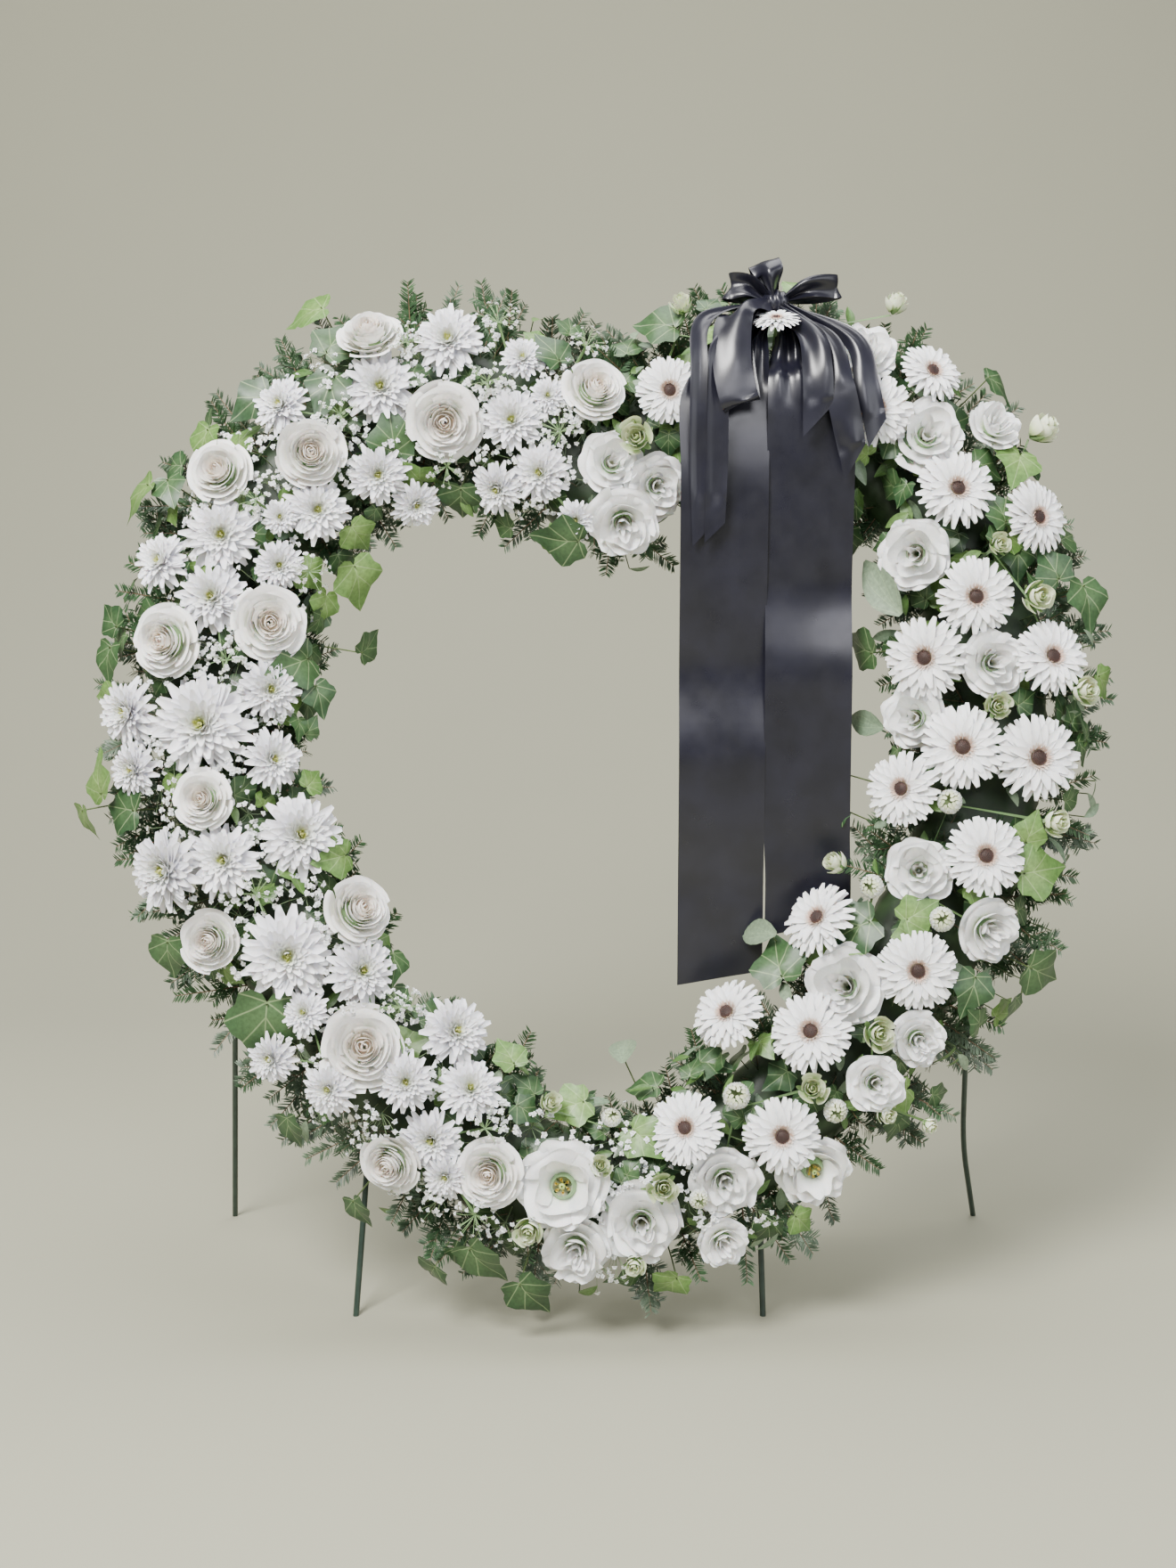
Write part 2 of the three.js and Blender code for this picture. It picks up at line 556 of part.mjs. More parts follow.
// A way for a stem from its foot to a neck, clear of every other node, with wider bends as the tries go on.
function wayClear(node, foot, neck, radius, tries) {
  for (let i = 0; i < tries; i++) {
    const away = 0.7 * i;
    const bend = foot.clone().lerp(neck, draw(0.25, 0.75));
    bend.add(vec(draw(-away, away), draw(-away, away), draw(-away, away)));
    const line = i === 0 ? [foot, neck] : [foot, bend, neck];
    if (!crosses(rod(line, radius + 0.8), node)) return line;
  }
  return null;
}

// The place in the foam at t, some share of the way out, where a stem stands.
function root(t, offset) {
  return between(t * STATIONS, THREE.MathUtils.clamp(offset, -42, 42), 24);
}

const STEM = 2.4;
const BRANCH = 1.9;
const sockets = [];
function bear({ node, place, bloom }, line, radius) {
  put(node, stemmed(bloom, place, line, radius, line[0].z < FOAM_DEEP ? radius : 0.8), false);
  if (line[0].z > FOAM_DEEP) return;
  const deeper = line[0].clone().add(line[0].clone().sub(line[1]).setLength(0.8));
  const turn = new THREE.Quaternion().setFromRotationMatrix(place);
  sockets.push(rod([deeper, ...line.slice(1)], radius + 1.1, 3, radius + 1.1, turn));
}

const numbered = (name, i) => `${name}_${String(i + 1).padStart(2, '0')}`;
const single = (name, kind, spots) => spots.map((spot, i) => settle(numbered(name, i), kind, spot));
const singles = [
  settle(numbered('gerbera', GERBERAS.length), 'gerbera', BOW_GERBERA, vec(0, 0.85, 0.5)),
  ...single('rose', 'rose', ROSES),
  ...single('gerbera', 'gerbera', GERBERAS),
];

// Sprays: the heads of a side of the heart, in turn round it, shared among so many branching stems.
function sprays(name, spots, count) {
  const along = ([, [x, y]]) => nearest(...fromPhoto(x, y)).t;
  const sorted = spots.slice().sort((a, b) => along(a) - along(b));
  const share = (i) => Math.round((i * sorted.length) / count);
  return Array.from({ length: count }, (_, i) => {
    const node = `${name}_${i + 1}`;
    return sorted.slice(share(i), share(i + 1)).map(([kind, spot]) => settle(node, kind, spot));
  });
}
const tagged = (kind, list) => list.map((spot) => [kind, spot]);
const bunches = [
  ...sprays('chrysanthemum_spray', [...tagged('mum', MUMS), ...tagged('gypsophila', GYPSOPHILA)], 8),
  ...sprays('lisianthus_spray', [
    ...tagged('lisianthus', LISIANTHUS), ...tagged('bud', BUDS), ...tagged('santini', SANTINI)], 6),
];

// A single flower stands on a stem of its own in the foam.
function plant(head, radius) {
  for (let i = 0; i < 60; i++) {
    const foot = root(head.here.t + draw(-0.0006, 0.0006) * i, head.here.offset * 0.45 + draw(-0.5, 0.5) * i);
    const line = wayClear(head.node, foot, head.neck, radius, 4 + i);
    if (line) {
      mark(head.node, rod(line, radius));
      bear(head, line, radius);
      return line;
    }
  }
  throw new Error(`no way for a stem of ${head.node}`);
}
for (const head of singles) plant(head, STEM);

// In a spray the head nearest its middle takes the stem, and each other branches off at the nearest clear spot.
for (const heads of bunches) {
  const centre = heads.reduce((sum, head) => sum.add(head.neck), vec(0, 0, 0)).divideScalar(heads.length);
  heads.sort((a, b) => a.neck.distanceTo(centre) - b.neck.distanceTo(centre));
  const { node } = heads[0];
  const lines = [plant(heads[0], STEM)];
  for (const head of heads.slice(1)) {
    const spots = lines.flatMap((line) => line.slice(1).flatMap((to, i) =>
      [0.3, 0.5, 0.7, 0.85].map((share) => line[i].clone().lerp(to, share))));
    const open = spots.filter((spot) => spot.z > 66)
      .sort((a, b) => a.distanceTo(head.neck) - b.distanceTo(head.neck));
    let line = null;
    const grown = wasm.Manifold.union(nodes.get(node));
    for (let i = 0; i < 600 && !line; i++) {
      line = wayClear(node, open[i % Math.min(open.length, 12)], head.neck, BRANCH, 1 + i / 8);
      if (line && rod(line, BRANCH, 3, 0.8).intersect(grown).volume() < 0.5) line = null;
    }
    if (!line) throw new Error(`no way for a branch of ${node}`);
    lines.push(line);
    mark(node, rod(line, BRANCH));
    bear(head, line, BRANCH);
  }
}

// The green bed: a shell of moss and short fir round the foam, in sectors, each with its sprays and leaves.
const SHELL = FOAM_HALF + 11;
const BED = [
  [SHELL, 4], [SHELL, 34], [FOAM_HALF - 8, 60], [8 - FOAM_HALF, 60], [-SHELL, 34], [-SHELL, 4],
  [-FOAM_HALF - 0.6, 4], [-FOAM_HALF - 0.6, FOAM_DEEP - 11.7], [FOAM_CHAMFER - FOAM_HALF - 0.3, FOAM_DEEP + 0.7],
  [FOAM_HALF - FOAM_CHAMFER + 0.3, FOAM_DEEP + 0.7], [FOAM_HALF + 0.6, FOAM_DEEP - 11.7], [FOAM_HALF + 0.6, 4],
];
const SPAN = STATIONS / SECTORS;
const sectorOf = (t) => `greens_${Math.floor(t * SECTORS) + 1}`;
for (let i = 0; i < SECTORS; i++) {
  const steps = Array.from({ length: SPAN + 1 }, (_, k) => i * SPAN + k);
  steps[0] += 0.008;
  steps[SPAN] -= 0.008;
  const bed = sweep(BED, steps, false, [1, 3]);
  const atNotch = i === 0 || i === SECTORS - 1;
  put(`greens_${i + 1}`, atNotch ? bed.trimByPlane([i ? 1 : -1, 0, 0], GAP) : bed);
}

// Lays fir from the bed outward or into the opening, swinging and shortening each spray until it is clear.
function fir(t, side, lift) {
  const node = sectorOf(t);
  for (let i = 0; i < 60; i++) {
    const outward = outwardAt(t).multiplyScalar(side);
    const foot = between(t * STATIONS, side * (SHELL - 5), 18);
    const slope = lift + draw(-0.02, 0.05) * i;
    const along = vec(-outward.y, outward.x, 0).multiplyScalar(draw(-0.45, 0.45));
    const way = outward.add(along).normalize().multiplyScalar(Math.cos(slope)).setZ(Math.sin(slope));
    const length = draw(84, 100) * (side > 0 ? 1 : 0.84) * (1 - 0.008 * i);
    const spray = laid(firSpray(length, 26, side > 0 ? 4 : 3), foot, way, vec(0, 0, 1));
    const tip = foot.clone().addScaledVector(way, length);
    if (roomHeight(tip) > FLOOR_CLEAR + 12 && !crosses(spray, node)) {
      put(node, spray);
      return;
    }
  }
}
const OUTER_FIR = 30;
const INNER_FIR = 10;
for (let i = 0; i < OUTER_FIR; i++) fir((i + 0.5) / OUTER_FIR + draw(-0.006, 0.006), 1, i % 2 ? 0.55 : 0.15);
for (let i = 0; i < INNER_FIR; i++) fir((i + 0.5) / INNER_FIR + draw(-0.006, 0.006), -1, 0.3);

// Ivy leaves lie among the blooms where the photo shows them, on stalks that stand in the bed.
function leaf([x, y, width, angle]) {
  const [u, v] = fromPhoto(x, y);
  const here = dome(u, v);
  const node = sectorOf(here.t);
  const inBed = Math.abs(here.offset) < FOAM_HALF;
  const out = inBed ? here.offset * 0.7 : Math.sign(here.offset) * 61;
  const foot = between(here.t * STATIONS, out, inBed ? 55.5 : 24);
  for (let i = 0; i < 400; i++) {
    const size = width * PHOTO.scale * (1 - 0.0008 * i);
    const at = vec(u + draw(-0.05, 0.05) * i, v + draw(-0.05, 0.05) * i, here.height + draw(-0.12, 0.1) * i);
    const normal = here.faces.clone().add(vec(draw(-0.25, 0.25), draw(-0.25, 0.25), 0)).normalize();
    const tip = vec(Math.cos(THREE.MathUtils.degToRad(angle)), Math.sin(THREE.MathUtils.degToRad(angle)), 0);
    const y1 = normal.clone().cross(tip).normalize();
    const place = new THREE.Matrix4().makeBasis(y1.clone().cross(normal), y1, normal).setPosition(at);
    const form = ivy(size);
    const neck = vec(0, 0, -form.neck).applyMatrix4(place);
    const bend = foot.clone().lerp(neck, 0.5);
    bend.add(vec(draw(-0.08, 0.08), draw(-0.08, 0.08), draw(-0.08, 0.08)).multiplyScalar(i));
    const made = stemmed(form, place, i < 30 ? [foot, neck] : [foot, bend, neck], 1.4, 0.9);
    if (!crosses(made, node)) {
      put(node, made);
      return;
    }
  }
}
IVY.forEach(leaf);

// Each stem stands in a plain hole of the bed and the foam.
for (const [node, list] of nodes) {
  if (/^foam|^greens/.test(node)) list[0] = list[0].subtract(wasm.Manifold.union(sockets));
}

const MATERIALS = [
  ['stand', COLOURS.stand, 0.45, 0.7], ['tray', COLOURS.tray, 0.5, 0], ['foam', COLOURS.foam, 0.95, 0],
  ['ribbon', COLOURS.satin, 0.35, 0], ['greens', COLOURS.greens, 0.8, 0], ['rose', COLOURS.rose, 0.7, 0],
  ['gerbera', COLOURS.gerbera, 0.7, 0], ['chrysanthemum', COLOURS.mum, 0.75, 0],
  ['lisianthus', COLOURS.lisianthus, 0.7, 0],
];
const group = new THREE.Group();
group.name = 'memorial_wreath';
const heart = new THREE.Group();
heart.name = 'leaning_heart';
heart.rotation.x = Math.PI / 2 - LEAN;
group.add(heart);
for (const [node, list] of nodes) {
  const joined = wasm.Manifold.union(list).asOriginal().simplify(SLIVER);
  const whole = joined.decompose().sort((a, b) => b.volume() - a.volume())[0];
  const mesh = whole.getMesh();
  const geometry = new THREE.BufferGeometry();
  geometry.setAttribute('position', new THREE.BufferAttribute(new Float32Array(mesh.vertProperties), 3));
  geometry.setIndex(new THREE.BufferAttribute(new Uint32Array(mesh.triVerts), 1));
  geometry.computeVertexNormals();
  const [, color, roughness, metalness] = MATERIALS.find(([start]) => node.startsWith(start));
  const material = new THREE.MeshStandardMaterial({ color, roughness, metalness, flatShading: true });
  const part = new THREE.Mesh(geometry, material);
  part.name = node;
  heart.add(part);
}

// The origin is the middle of the footprint, on the floor.
group.updateMatrixWorld(true);
const extent = new THREE.Box3().setFromObject(group, true);
const centre = extent.getCenter(new THREE.Vector3());
group.position.set(-centre.x, -centre.y, -extent.min.z);
group.updateMatrixWorld(true);

export default group;
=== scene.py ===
"""The looks of the heart-shaped memorial wreath: petals, needles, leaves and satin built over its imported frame.

Sizes inside the heart are millimetres in its own leaning frame: u to the right, v up along the heart, n out of
its front. row() turns such points into the row frame in metres.
"""

import math

import bpy
import numpy as np
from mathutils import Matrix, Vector


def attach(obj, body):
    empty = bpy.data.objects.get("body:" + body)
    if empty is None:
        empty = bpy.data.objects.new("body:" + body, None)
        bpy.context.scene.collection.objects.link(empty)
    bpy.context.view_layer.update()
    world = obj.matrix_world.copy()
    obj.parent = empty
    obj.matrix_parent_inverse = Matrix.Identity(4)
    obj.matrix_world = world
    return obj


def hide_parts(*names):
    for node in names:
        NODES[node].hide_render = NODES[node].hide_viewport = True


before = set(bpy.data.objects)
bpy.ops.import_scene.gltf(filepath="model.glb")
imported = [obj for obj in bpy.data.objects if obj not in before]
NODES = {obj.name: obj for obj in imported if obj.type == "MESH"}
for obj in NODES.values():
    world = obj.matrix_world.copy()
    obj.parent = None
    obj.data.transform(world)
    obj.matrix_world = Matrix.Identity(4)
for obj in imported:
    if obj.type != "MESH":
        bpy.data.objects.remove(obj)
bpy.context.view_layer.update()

# ---------------------------------------------------------------- dimensions, as in the solids
LEAN = math.radians(12)
FOAM_HALF = 55.0
FOAM_DEEP = 50.0
TRAY_THICK = 3.6
TRAY_RIM = 4.0
GAP = 0.4
ROD = 3.5
BAND_HALF = 150.0
DOME_EDGE = 48.0
DOME_TOP = 124.0
RIBBON_WIDE = 97.0
HALF_HEART = [
    [0, 956], [69, 1011], [147, 1044], [245, 1036], [338, 973], [407, 875], [438, 762],
    [439, 649], [410, 527], [343, 399], [245, 282], [127, 189], [0, 144],
]
PHOTO_AXIS, PHOTO_MIDDLE, MIDDLE_UP, PHOTO_SCALE = 680, 880, 605, 0.98

ROSES = [
    [411, 365, 68], [498, 471, 80], [347, 506, 72], [242, 525, 68], [669, 430, 68], [183, 719, 74],
    [301, 698, 77], [228, 897, 62], [236, 1055, 64], [404, 1020, 72], [410, 1173, 88], [438, 1303, 64],
    [550, 1313, 70],
]
GERBERAS = [
    [752, 434, 76], [1051, 409, 74], [985, 455, 80], [1076, 546, 88], [1168, 577, 82], [1096, 668, 88],
    [1040, 736, 92], [1182, 736, 86], [1080, 838, 94], [1164, 850, 96], [1014, 884, 84], [1104, 960, 88],
    [920, 1030, 86], [1027, 1088, 88], [817, 1137, 84], [908, 1156, 90], [768, 1263, 82], [875, 1271, 86],
]
BOW_GERBERA = [870, 362, 56, 34]
MUMS = [
    [501, 373, 72], [424, 428, 74], [310, 448, 60], [585, 394, 46], [573, 466, 64], [614, 438, 38],
    [605, 526, 62], [556, 542, 56], [646, 579, 42], [421, 527, 62], [463, 557, 50], [353, 568, 66],
    [312, 578, 40], [245, 597, 76], [310, 631, 52], [175, 626, 62], [235, 668, 74], [301, 772, 66],
    [224, 812, 102], [138, 798, 72], [145, 862, 58], [304, 851, 62], [336, 936, 86], [183, 976, 84],
    [251, 965, 76], [323, 1072, 92], [407, 1089, 72], [342, 1135, 48], [304, 1187, 52], [372, 1219, 68],
    [458, 1211, 70], [511, 1157, 70], [528, 1220, 66], [485, 1277, 62], [501, 1317, 50],
]
LISIANTHUS = [
    [687, 514, 64], [699, 584, 80], [738, 540, 66], [978, 386, 66], [1045, 482, 76], [1125, 467, 58],
    [1031, 617, 76], [1117, 742, 70], [1030, 803, 66], [1032, 976, 68], [1110, 1043, 68], [948, 1106, 86],
    [978, 1212, 78], [1029, 1166, 56], [631, 1327, 98], [645, 1399, 72], [719, 1369, 80], [812, 1322, 70],
    [912, 1312, 74], [811, 1391, 54],
]
BUDS = [
    [715, 489, 44], [767, 331, 28], [1014, 325, 28], [1181, 470, 38], [1122, 611, 28], [1164, 668, 40],
    [1118, 793, 34], [1216, 775, 38], [1182, 922, 34], [942, 969, 30], [981, 1157, 42], [908, 1219, 38],
    [743, 1327, 40], [594, 1374, 36], [617, 1237, 28], [673, 1304, 28], [711, 1413, 26], [990, 1247, 26],
    [1041, 1261, 20],
]
SANTINI = [
    [1065, 899, 35], [978, 994, 34], [1055, 1031, 35], [825, 1227, 38], [686, 1252, 28], [935, 1244, 34],
    [783, 1341, 28],
]
GYPSOPHILA = [
    [455, 378], [558, 353], [546, 425], [658, 379], [628, 482], [380, 462], [500, 520], [285, 560], [345, 640],
    [255, 740], [290, 1003], [451, 1128], [546, 1262], [534, 1359],
]
# Each kind's height above the dome and, as shares of its radius, the height of its solid's middle, the depth of
# its neck and how far its soft petals reach.
KINDS = {
    "rose": (12, 0.14, 0.72, 1.1), "gerbera": (8, 0.17, 0.22, 1.08), "mum": (0, 0.16, 0.3, 1.16),
    "lisianthus": (-4, -0.02, 0.62, 1.2), "bud": (12, 1.1, 1.0, 1.05), "santini": (8, 0.5, 0.5, 1.05),
    "gypsophila": (14, 0.12, 0.16, 1.1),
}

SPIRAL = 2.39996  # the golden angle, in radians
rng = np.random.default_rng(7)


def unit(a):
    a = np.asarray(a, float)
    return a / np.maximum(np.linalg.norm(a, axis=-1, keepdims=True), 1e-12)


def smooth(a, low, high):
    x = np.clip((a - low) / (high - low), 0, 1)
    return x * x * (3 - 2 * x)


def together(*parts):
    """The parts as the last axis of one array."""
    return np.stack(np.broadcast_arrays(*parts), -1)


# ---------------------------------------------------------------- the heart's line and dome
SAMPLE_COUNT = 480
MIDDLE = np.array([[-u, v] for u, v in HALF_HEART] + HALF_HEART[-2:0:-1], float)


def catmull(a, b, c, d, f):
    """A smooth curve's points at the share f of the way from b to c."""
    return 0.5 * (
        2 * b + (c - a) * f + (2 * a - 5 * b + 4 * c - d) * f * f + (3 * b - a - 3 * c + d) * f**3
    )


def middle_at(t):
    """The heart's middle line at t, from the notch round to the left and back, as (u, v)."""
    count = len(MIDDLE)
    x = (np.asarray(t, float) % 1) * count
    i = np.floor(x).astype(int)
    f = (x - i)[..., None]
    return catmull(*(MIDDLE[(i + k) % count] for k in (-1, 0, 1, 2)), f)


def outward_at(t):
    step = 1 / SAMPLE_COUNT
    along = unit(middle_at(np.asarray(t) + step) - middle_at(np.asarray(t) - step))
    return together(along[..., 1], -along[..., 0])


def outward_3d(t):
    return np.append(outward_at(t), 0)


def place_at(t, offset, height):
    """Points at t round the heart, offset outward from its middle line, at a height above its back."""
    flat = middle_at(t) + outward_at(t) * np.asarray(offset, float)[..., None]
    height = np.broadcast_to(np.asarray(height, float)[..., None], flat[..., :1].shape)
    return np.concatenate([flat, height], -1)


def swept(t, profile):
    """A section's (offset, height) points at each t round the heart."""
    offsets, heights = np.asarray(profile, float).T
    shape = len(t), len(profile)
    return place_at(*(np.broadcast_to(a, shape) for a in (t[:, None], offsets, heights)))


SAMPLES = np.arange(SAMPLE_COUNT) / SAMPLE_COUNT
SAMPLE_POINTS = middle_at(SAMPLES)


def dome_height(offset):
    return DOME_EDGE + (DOME_TOP - DOME_EDGE) * math.sqrt(max(0.0, 1 - (offset / BAND_HALF) ** 2))


def dome(u, v):
    """Where (u, v) lies on the dome of heads: t, offset, height, the way it faces."""
    nearest = int(np.argmin(np.hypot(*(SAMPLE_POINTS - [u, v]).T)))
    t = SAMPLES[nearest]
    outward = outward_at(t)
    offset = float(np.dot(np.array([u, v]) - SAMPLE_POINTS[nearest], outward))
    share = float(np.clip(offset / BAND_HALF, -0.97, 0.97))
    height = DOME_EDGE + (DOME_TOP - DOME_EDGE) * math.sqrt(1 - share * share)
    tilt = 0.8 * math.asin(share)
    faces = np.array([outward[0] * math.sin(tilt), outward[1] * math.sin(tilt), math.cos(tilt)])
    return t, offset, height, faces


# ---------------------------------------------------------------- between the heart and the row frame
TURN = np.array([[1, 0, 0], [0, math.sin(LEAN), -math.cos(LEAN)], [0, math.cos(LEAN), math.sin(LEAN)]])


def node_points(name):
    return np.array([v.co for v in NODES[name].data.vertices], float) * 1000


foam = node_points("foam_heart")
SHIFT = np.array([(foam[:, 0].min() + foam[:, 0].max()) / 2, -(foam @ TURN)[:, 2].min() / math.cos(LEAN), 0])


def row(points):
    """Heart millimetres to row metres."""
    return (np.asarray(points, float) @ TURN.T + SHIFT) / 1000


def heart(points_mm):
    """Row millimetres to heart millimetres."""
    return (np.asarray(points_mm, float) - SHIFT) @ TURN


def room(points):
    """Points of the unshifted room, such as feet on the floor, to heart millimetres."""
    return np.asarray(points, float) @ TURN


def room_of(points):
    """Heart millimetres to the unshifted room, whose third number is the height over the floor."""
    return np.asarray(points, float) @ TURN.T


# ---------------------------------------------------------------- meshes from many small forms
class Heap:
    """Gathers small forms, each a set of points with four-cornered faces, a colour and a grain place."""

    def __init__(self):
        self.points, self.quads, self.tints, self.grains, self.count = [], [], [], [], 0

    def add(self, form, place=None):
        points, quads, tint, grain = form
        if place is not None:
            points = points @ place[:3, :3].T + place[:3, 3]
        self.points.append(points)
        self.quads.append(quads + self.count)
        self.tints.append(tint)
        self.grains.append(grain)
        self.count += len(points)
        return self

    def form(self):
        """All that was added, as one form."""
        return tuple(np.concatenate(part) for part in (self.points, self.quads, self.tints, self.grains))


def grids(points, tint, grain, loop=False):
    """Faces over grids of points shaped (..., rows, columns, 3); loop joins the last column to the first."""
    rows, columns = points.shape[-3:-1]
    index = np.arange(rows * columns).reshape(rows, columns)
    if loop:
        index = np.concatenate([index, index[:, :1]], 1)
    quads = np.stack([index[:-1, :-1], index[:-1, 1:], index[1:, 1:], index[1:, :-1]], -1).reshape(-1, 4)
    many = int(np.prod(points.shape[:-3], dtype=int))
    offsets = np.arange(many)[:, None, None] * rows * columns
    shape = points.shape
    return (
        points.reshape(-1, 3),
        (quads[None] + offsets).reshape(-1, 4),
        np.broadcast_to(tint, shape).reshape(-1, 3),
        np.broadcast_to(grain, shape).reshape(-1, 3),
    )


def place(at, up, spin=0.0, size=1.0, toward=None):
    """A form's place: its origin, the way its z faces, a turn about that or the way its x points, its size."""
    z = unit(up)
    x = np.array(toward if toward is not None else ([0, 1, 0] if abs(z[1]) < 0.8 else [1, 0, 0]), float)
    y = unit(np.cross(z, x))
    x = np.cross(y, z)
    c, s = math.cos(spin), math.sin(spin)
    matrix = np.eye(4)
    matrix[:3, 0] = (x * c + y * s) * size
    matrix[:3, 1] = (y * c - x * s) * size
    matrix[:3, 2] = z * size
    matrix[:3, 3] = at
    return matrix


def tube(line, radius, tint, sides=6, taper=1.0):
    """A round stem along a line of points."""
    line = np.asarray(line, float)
    along = unit(np.gradient(line, axis=0))
    side = unit(np.cross(along, [0.31, 0.84, 0.45]))
    other = np.cross(along, side)
    angle = np.arange(sides) * math.tau / sides
    share = np.linspace(0, 1, len(line))
    r = (np.broadcast_to(radius, len(line)) * (1 + (taper - 1) * share))[:, None, None]
    points = line[:, None] + r * (
        np.cos(angle)[None, :, None] * side[:, None] + np.sin(angle)[None, :, None] * other[:, None]
    )
    return grids(points, np.asarray(tint, float), together(share[:, None], angle[None] / 6.3, 0.5), loop=True)


def mix(a, b, share):
    share = np.asarray(share, float)[..., None]
    return np.asarray(a, float) * (1 - share) + np.asarray(b, float) * share


def petals(spin, reach, width, lift, cup, curl, base, rows=7, columns=5, low=0.0, jitter=0.05):
    """Petals about z: their turns, reaches, widths and the angles they rise at, cupped across and curled at
    the tip, from a circle of radius base at height low. Returns points, place along and place across."""
    many = len(spin)
    along = np.linspace(0, 1, rows)[None, :, None]
    across = np.linspace(-1, 1, columns)[None, None, :]
    spin, reach, width, lift, cup, curl, base, low = (
        np.broadcast_to(np.asarray(value, float), many)[:, None, None]
        for value in (spin, reach, width, lift, cup, curl, base, low)
    )
    wobble = rng.normal(0, jitter, (many, 1, 1))
    outline = np.sin(np.clip(along * 0.93 + 0.07, 0, 1) ** 0.72 * math.pi * 0.93) ** 0.75
    half = width * 0.5 * outline
    bend = lift + wobble - curl * along**2
    step = reach / (rows - 1)
    run = np.cumsum(np.cos(bend) * step, 1) - np.cos(bend[:, :1]) * step
    rise = np.cumsum(np.sin(bend) * step, 1) - np.sin(bend[:, :1]) * step
    side = across * half
    trough = cup * width * (across**2) * outline * 0.5
    out = base + run - np.sin(bend) * trough
    high = low + rise + np.cos(bend) * trough
    c, s = np.cos(spin), np.sin(spin)
    return together(out * c - side * s, out * s + side * c, high), along, across


def grain_of(along, across, many):
    return together(along, across, rng.random((many, 1, 1)))


def ring_turns(count, loose=0.3):
    """Turns spread evenly round a ring, each out of place by up to a share of their spacing."""
    return (np.arange(count) + rng.uniform(-loose, loose, count)) * math.tau / count


def petal_form(shades, spin, *shape):
    """Petals in two shades, which change over from one share of their length to another."""
    foot, tip, low, high = shades
    points, along, across = petals(spin, *shape)
    return grids(points, mix(foot, tip, smooth(along, low, high)), grain_of(along, across, len(spin)))


def turned(profile, tone, sides=12):
    """A profile of (radius, height) points turned about z."""
    ring = np.linspace(0, math.tau, sides, endpoint=False)
    radii, heights = np.array(profile, float).T[..., None]
    points = together(radii * np.cos(ring), radii * np.sin(ring), heights)
    return grids(points, np.asarray(tone, float), 0.5, loop=True)


def cup_of(radius, low, tone):
    """The green cup behind a bloom, down to its neck."""
    return turned([(0.05, low), (0.55 * radius, low * 0.72), (radius, low * 0.3), (radius * 0.7, 0.0)], tone)


# ---------------------------------------------------------------- the blooms, one unit in radius, facing z
def gerbera_form():
    heap = Heap()
    for count, reach, lift, low in ((22, 0.86, 0.10, -0.06), (22, 0.82, 0.2, -0.02), (16, 0.62, 0.34, 0.02)):
        spin = ring_turns(count, 0.22) + rng.random()
        long = reach * rng.uniform(0.93, 1.04, count)
        heap.add(petal_form(((0.90, 0.86, 0.82), (0.955, 0.95, 0.95), 0.0, 0.6),
                            spin, long, 0.235, lift, 0.3, 0.42, 0.12, 7, 5, low))
    for count, base, reach, lift, tone in (
        (36, 0.2, 0.15, 0.7, (0.93, 0.80, 0.70)), (32, 0.17, 0.14, 0.95, (0.86, 0.60, 0.48)),
        (26, 0.13, 0.1, 1.2, (0.07, 0.018, 0.014)),
    ):
        heap.add(petal_form((np.array(tone) * 0.6, tone, 0, 0.7),
                            ring_turns(count), reach, 0.045, lift, 0.2, -0.2, base, 3, 3, 0.05, 0.12))
    eye, dark = 0.155, 0.11
    for i in range(70):
        radius = eye * math.sqrt((i + 0.5) / 70)
        angle = i * SPIRAL
        at = [radius * math.cos(angle), radius * math.sin(angle), 0.115 - 1.6 * radius**2]
        tone = (0.018, 0.004, 0.004) if radius < dark else (0.05, 0.014, 0.011)
        heap.add(tube([at, [at[0] * 1.05, at[1] * 1.05, at[2] + 0.035]], [0.014, 0.004], tone, 5))
    tone = mix((0.2, 0.32, 0.1), (0.07, 0.03, 0.02), np.array([0, 0, 0.2, 1, 1]))[:, None]
    heap.add(turned([(0.03, -0.24), (0.15, -0.16), (0.2, -0.02), (0.16, 0.1), (0.0, 0.12)], tone, 24))
    return heap.form()


def mum_form(rows=7):
    """A double daisy chrysanthemum: rings of spooned petals that stand steeper towards a yellow-green button."""
    heap = Heap()
    for k in range(rows):
        share = k / (rows - 1)
        count = int(round(19 - 7 * share))
        spin = ring_turns(count) + 0.7 * k
        reach = (1.0 - 0.63 * share) * rng.uniform(0.84, 1.05, count)
        lift = 0.02 + 1.0 * share + rng.normal(0, 0.09, count)
        width = (0.31 - 0.13 * share) * rng.uniform(0.85, 1.1, count)
        curl = rng.uniform(0.0, 0.55, count) * (1 - share) - 0.45 * share
        points, along, across = petals(spin, reach, width, lift, 0.5, curl, 0.06, 6, 4, -0.1 + 0.1 * share, 0.06)
        outer = mix((0.80, 0.79, 0.86), (0.94, 0.93, 0.965), smooth(along, 0.1, 0.8))
        inner = mix((0.74, 0.80, 0.52), (0.93, 0.94, 0.90), smooth(along, 0.1, 0.8))
        shade = mix(outer, inner, np.full(outer.shape[:-1], max(0, share - 0.45) / 0.55))
        heap.add(grids(points, shade, grain_of(along, across, count)))
    count = 14
    heap.add(petal_form(((0.55, 0.62, 0.12), (0.86, 0.85, 0.34), 0.2, 1), np.arange(count) * SPIRAL, 0.21, 0.08,
                        np.linspace(1.0, 1.5, count), 0.6, -0.5, np.linspace(0.07, 0.01, count), 5, 3, 0.06))
    heap.add(cup_of(0.3, -0.3, (0.2, 0.33, 0.12)))
    return heap.form()


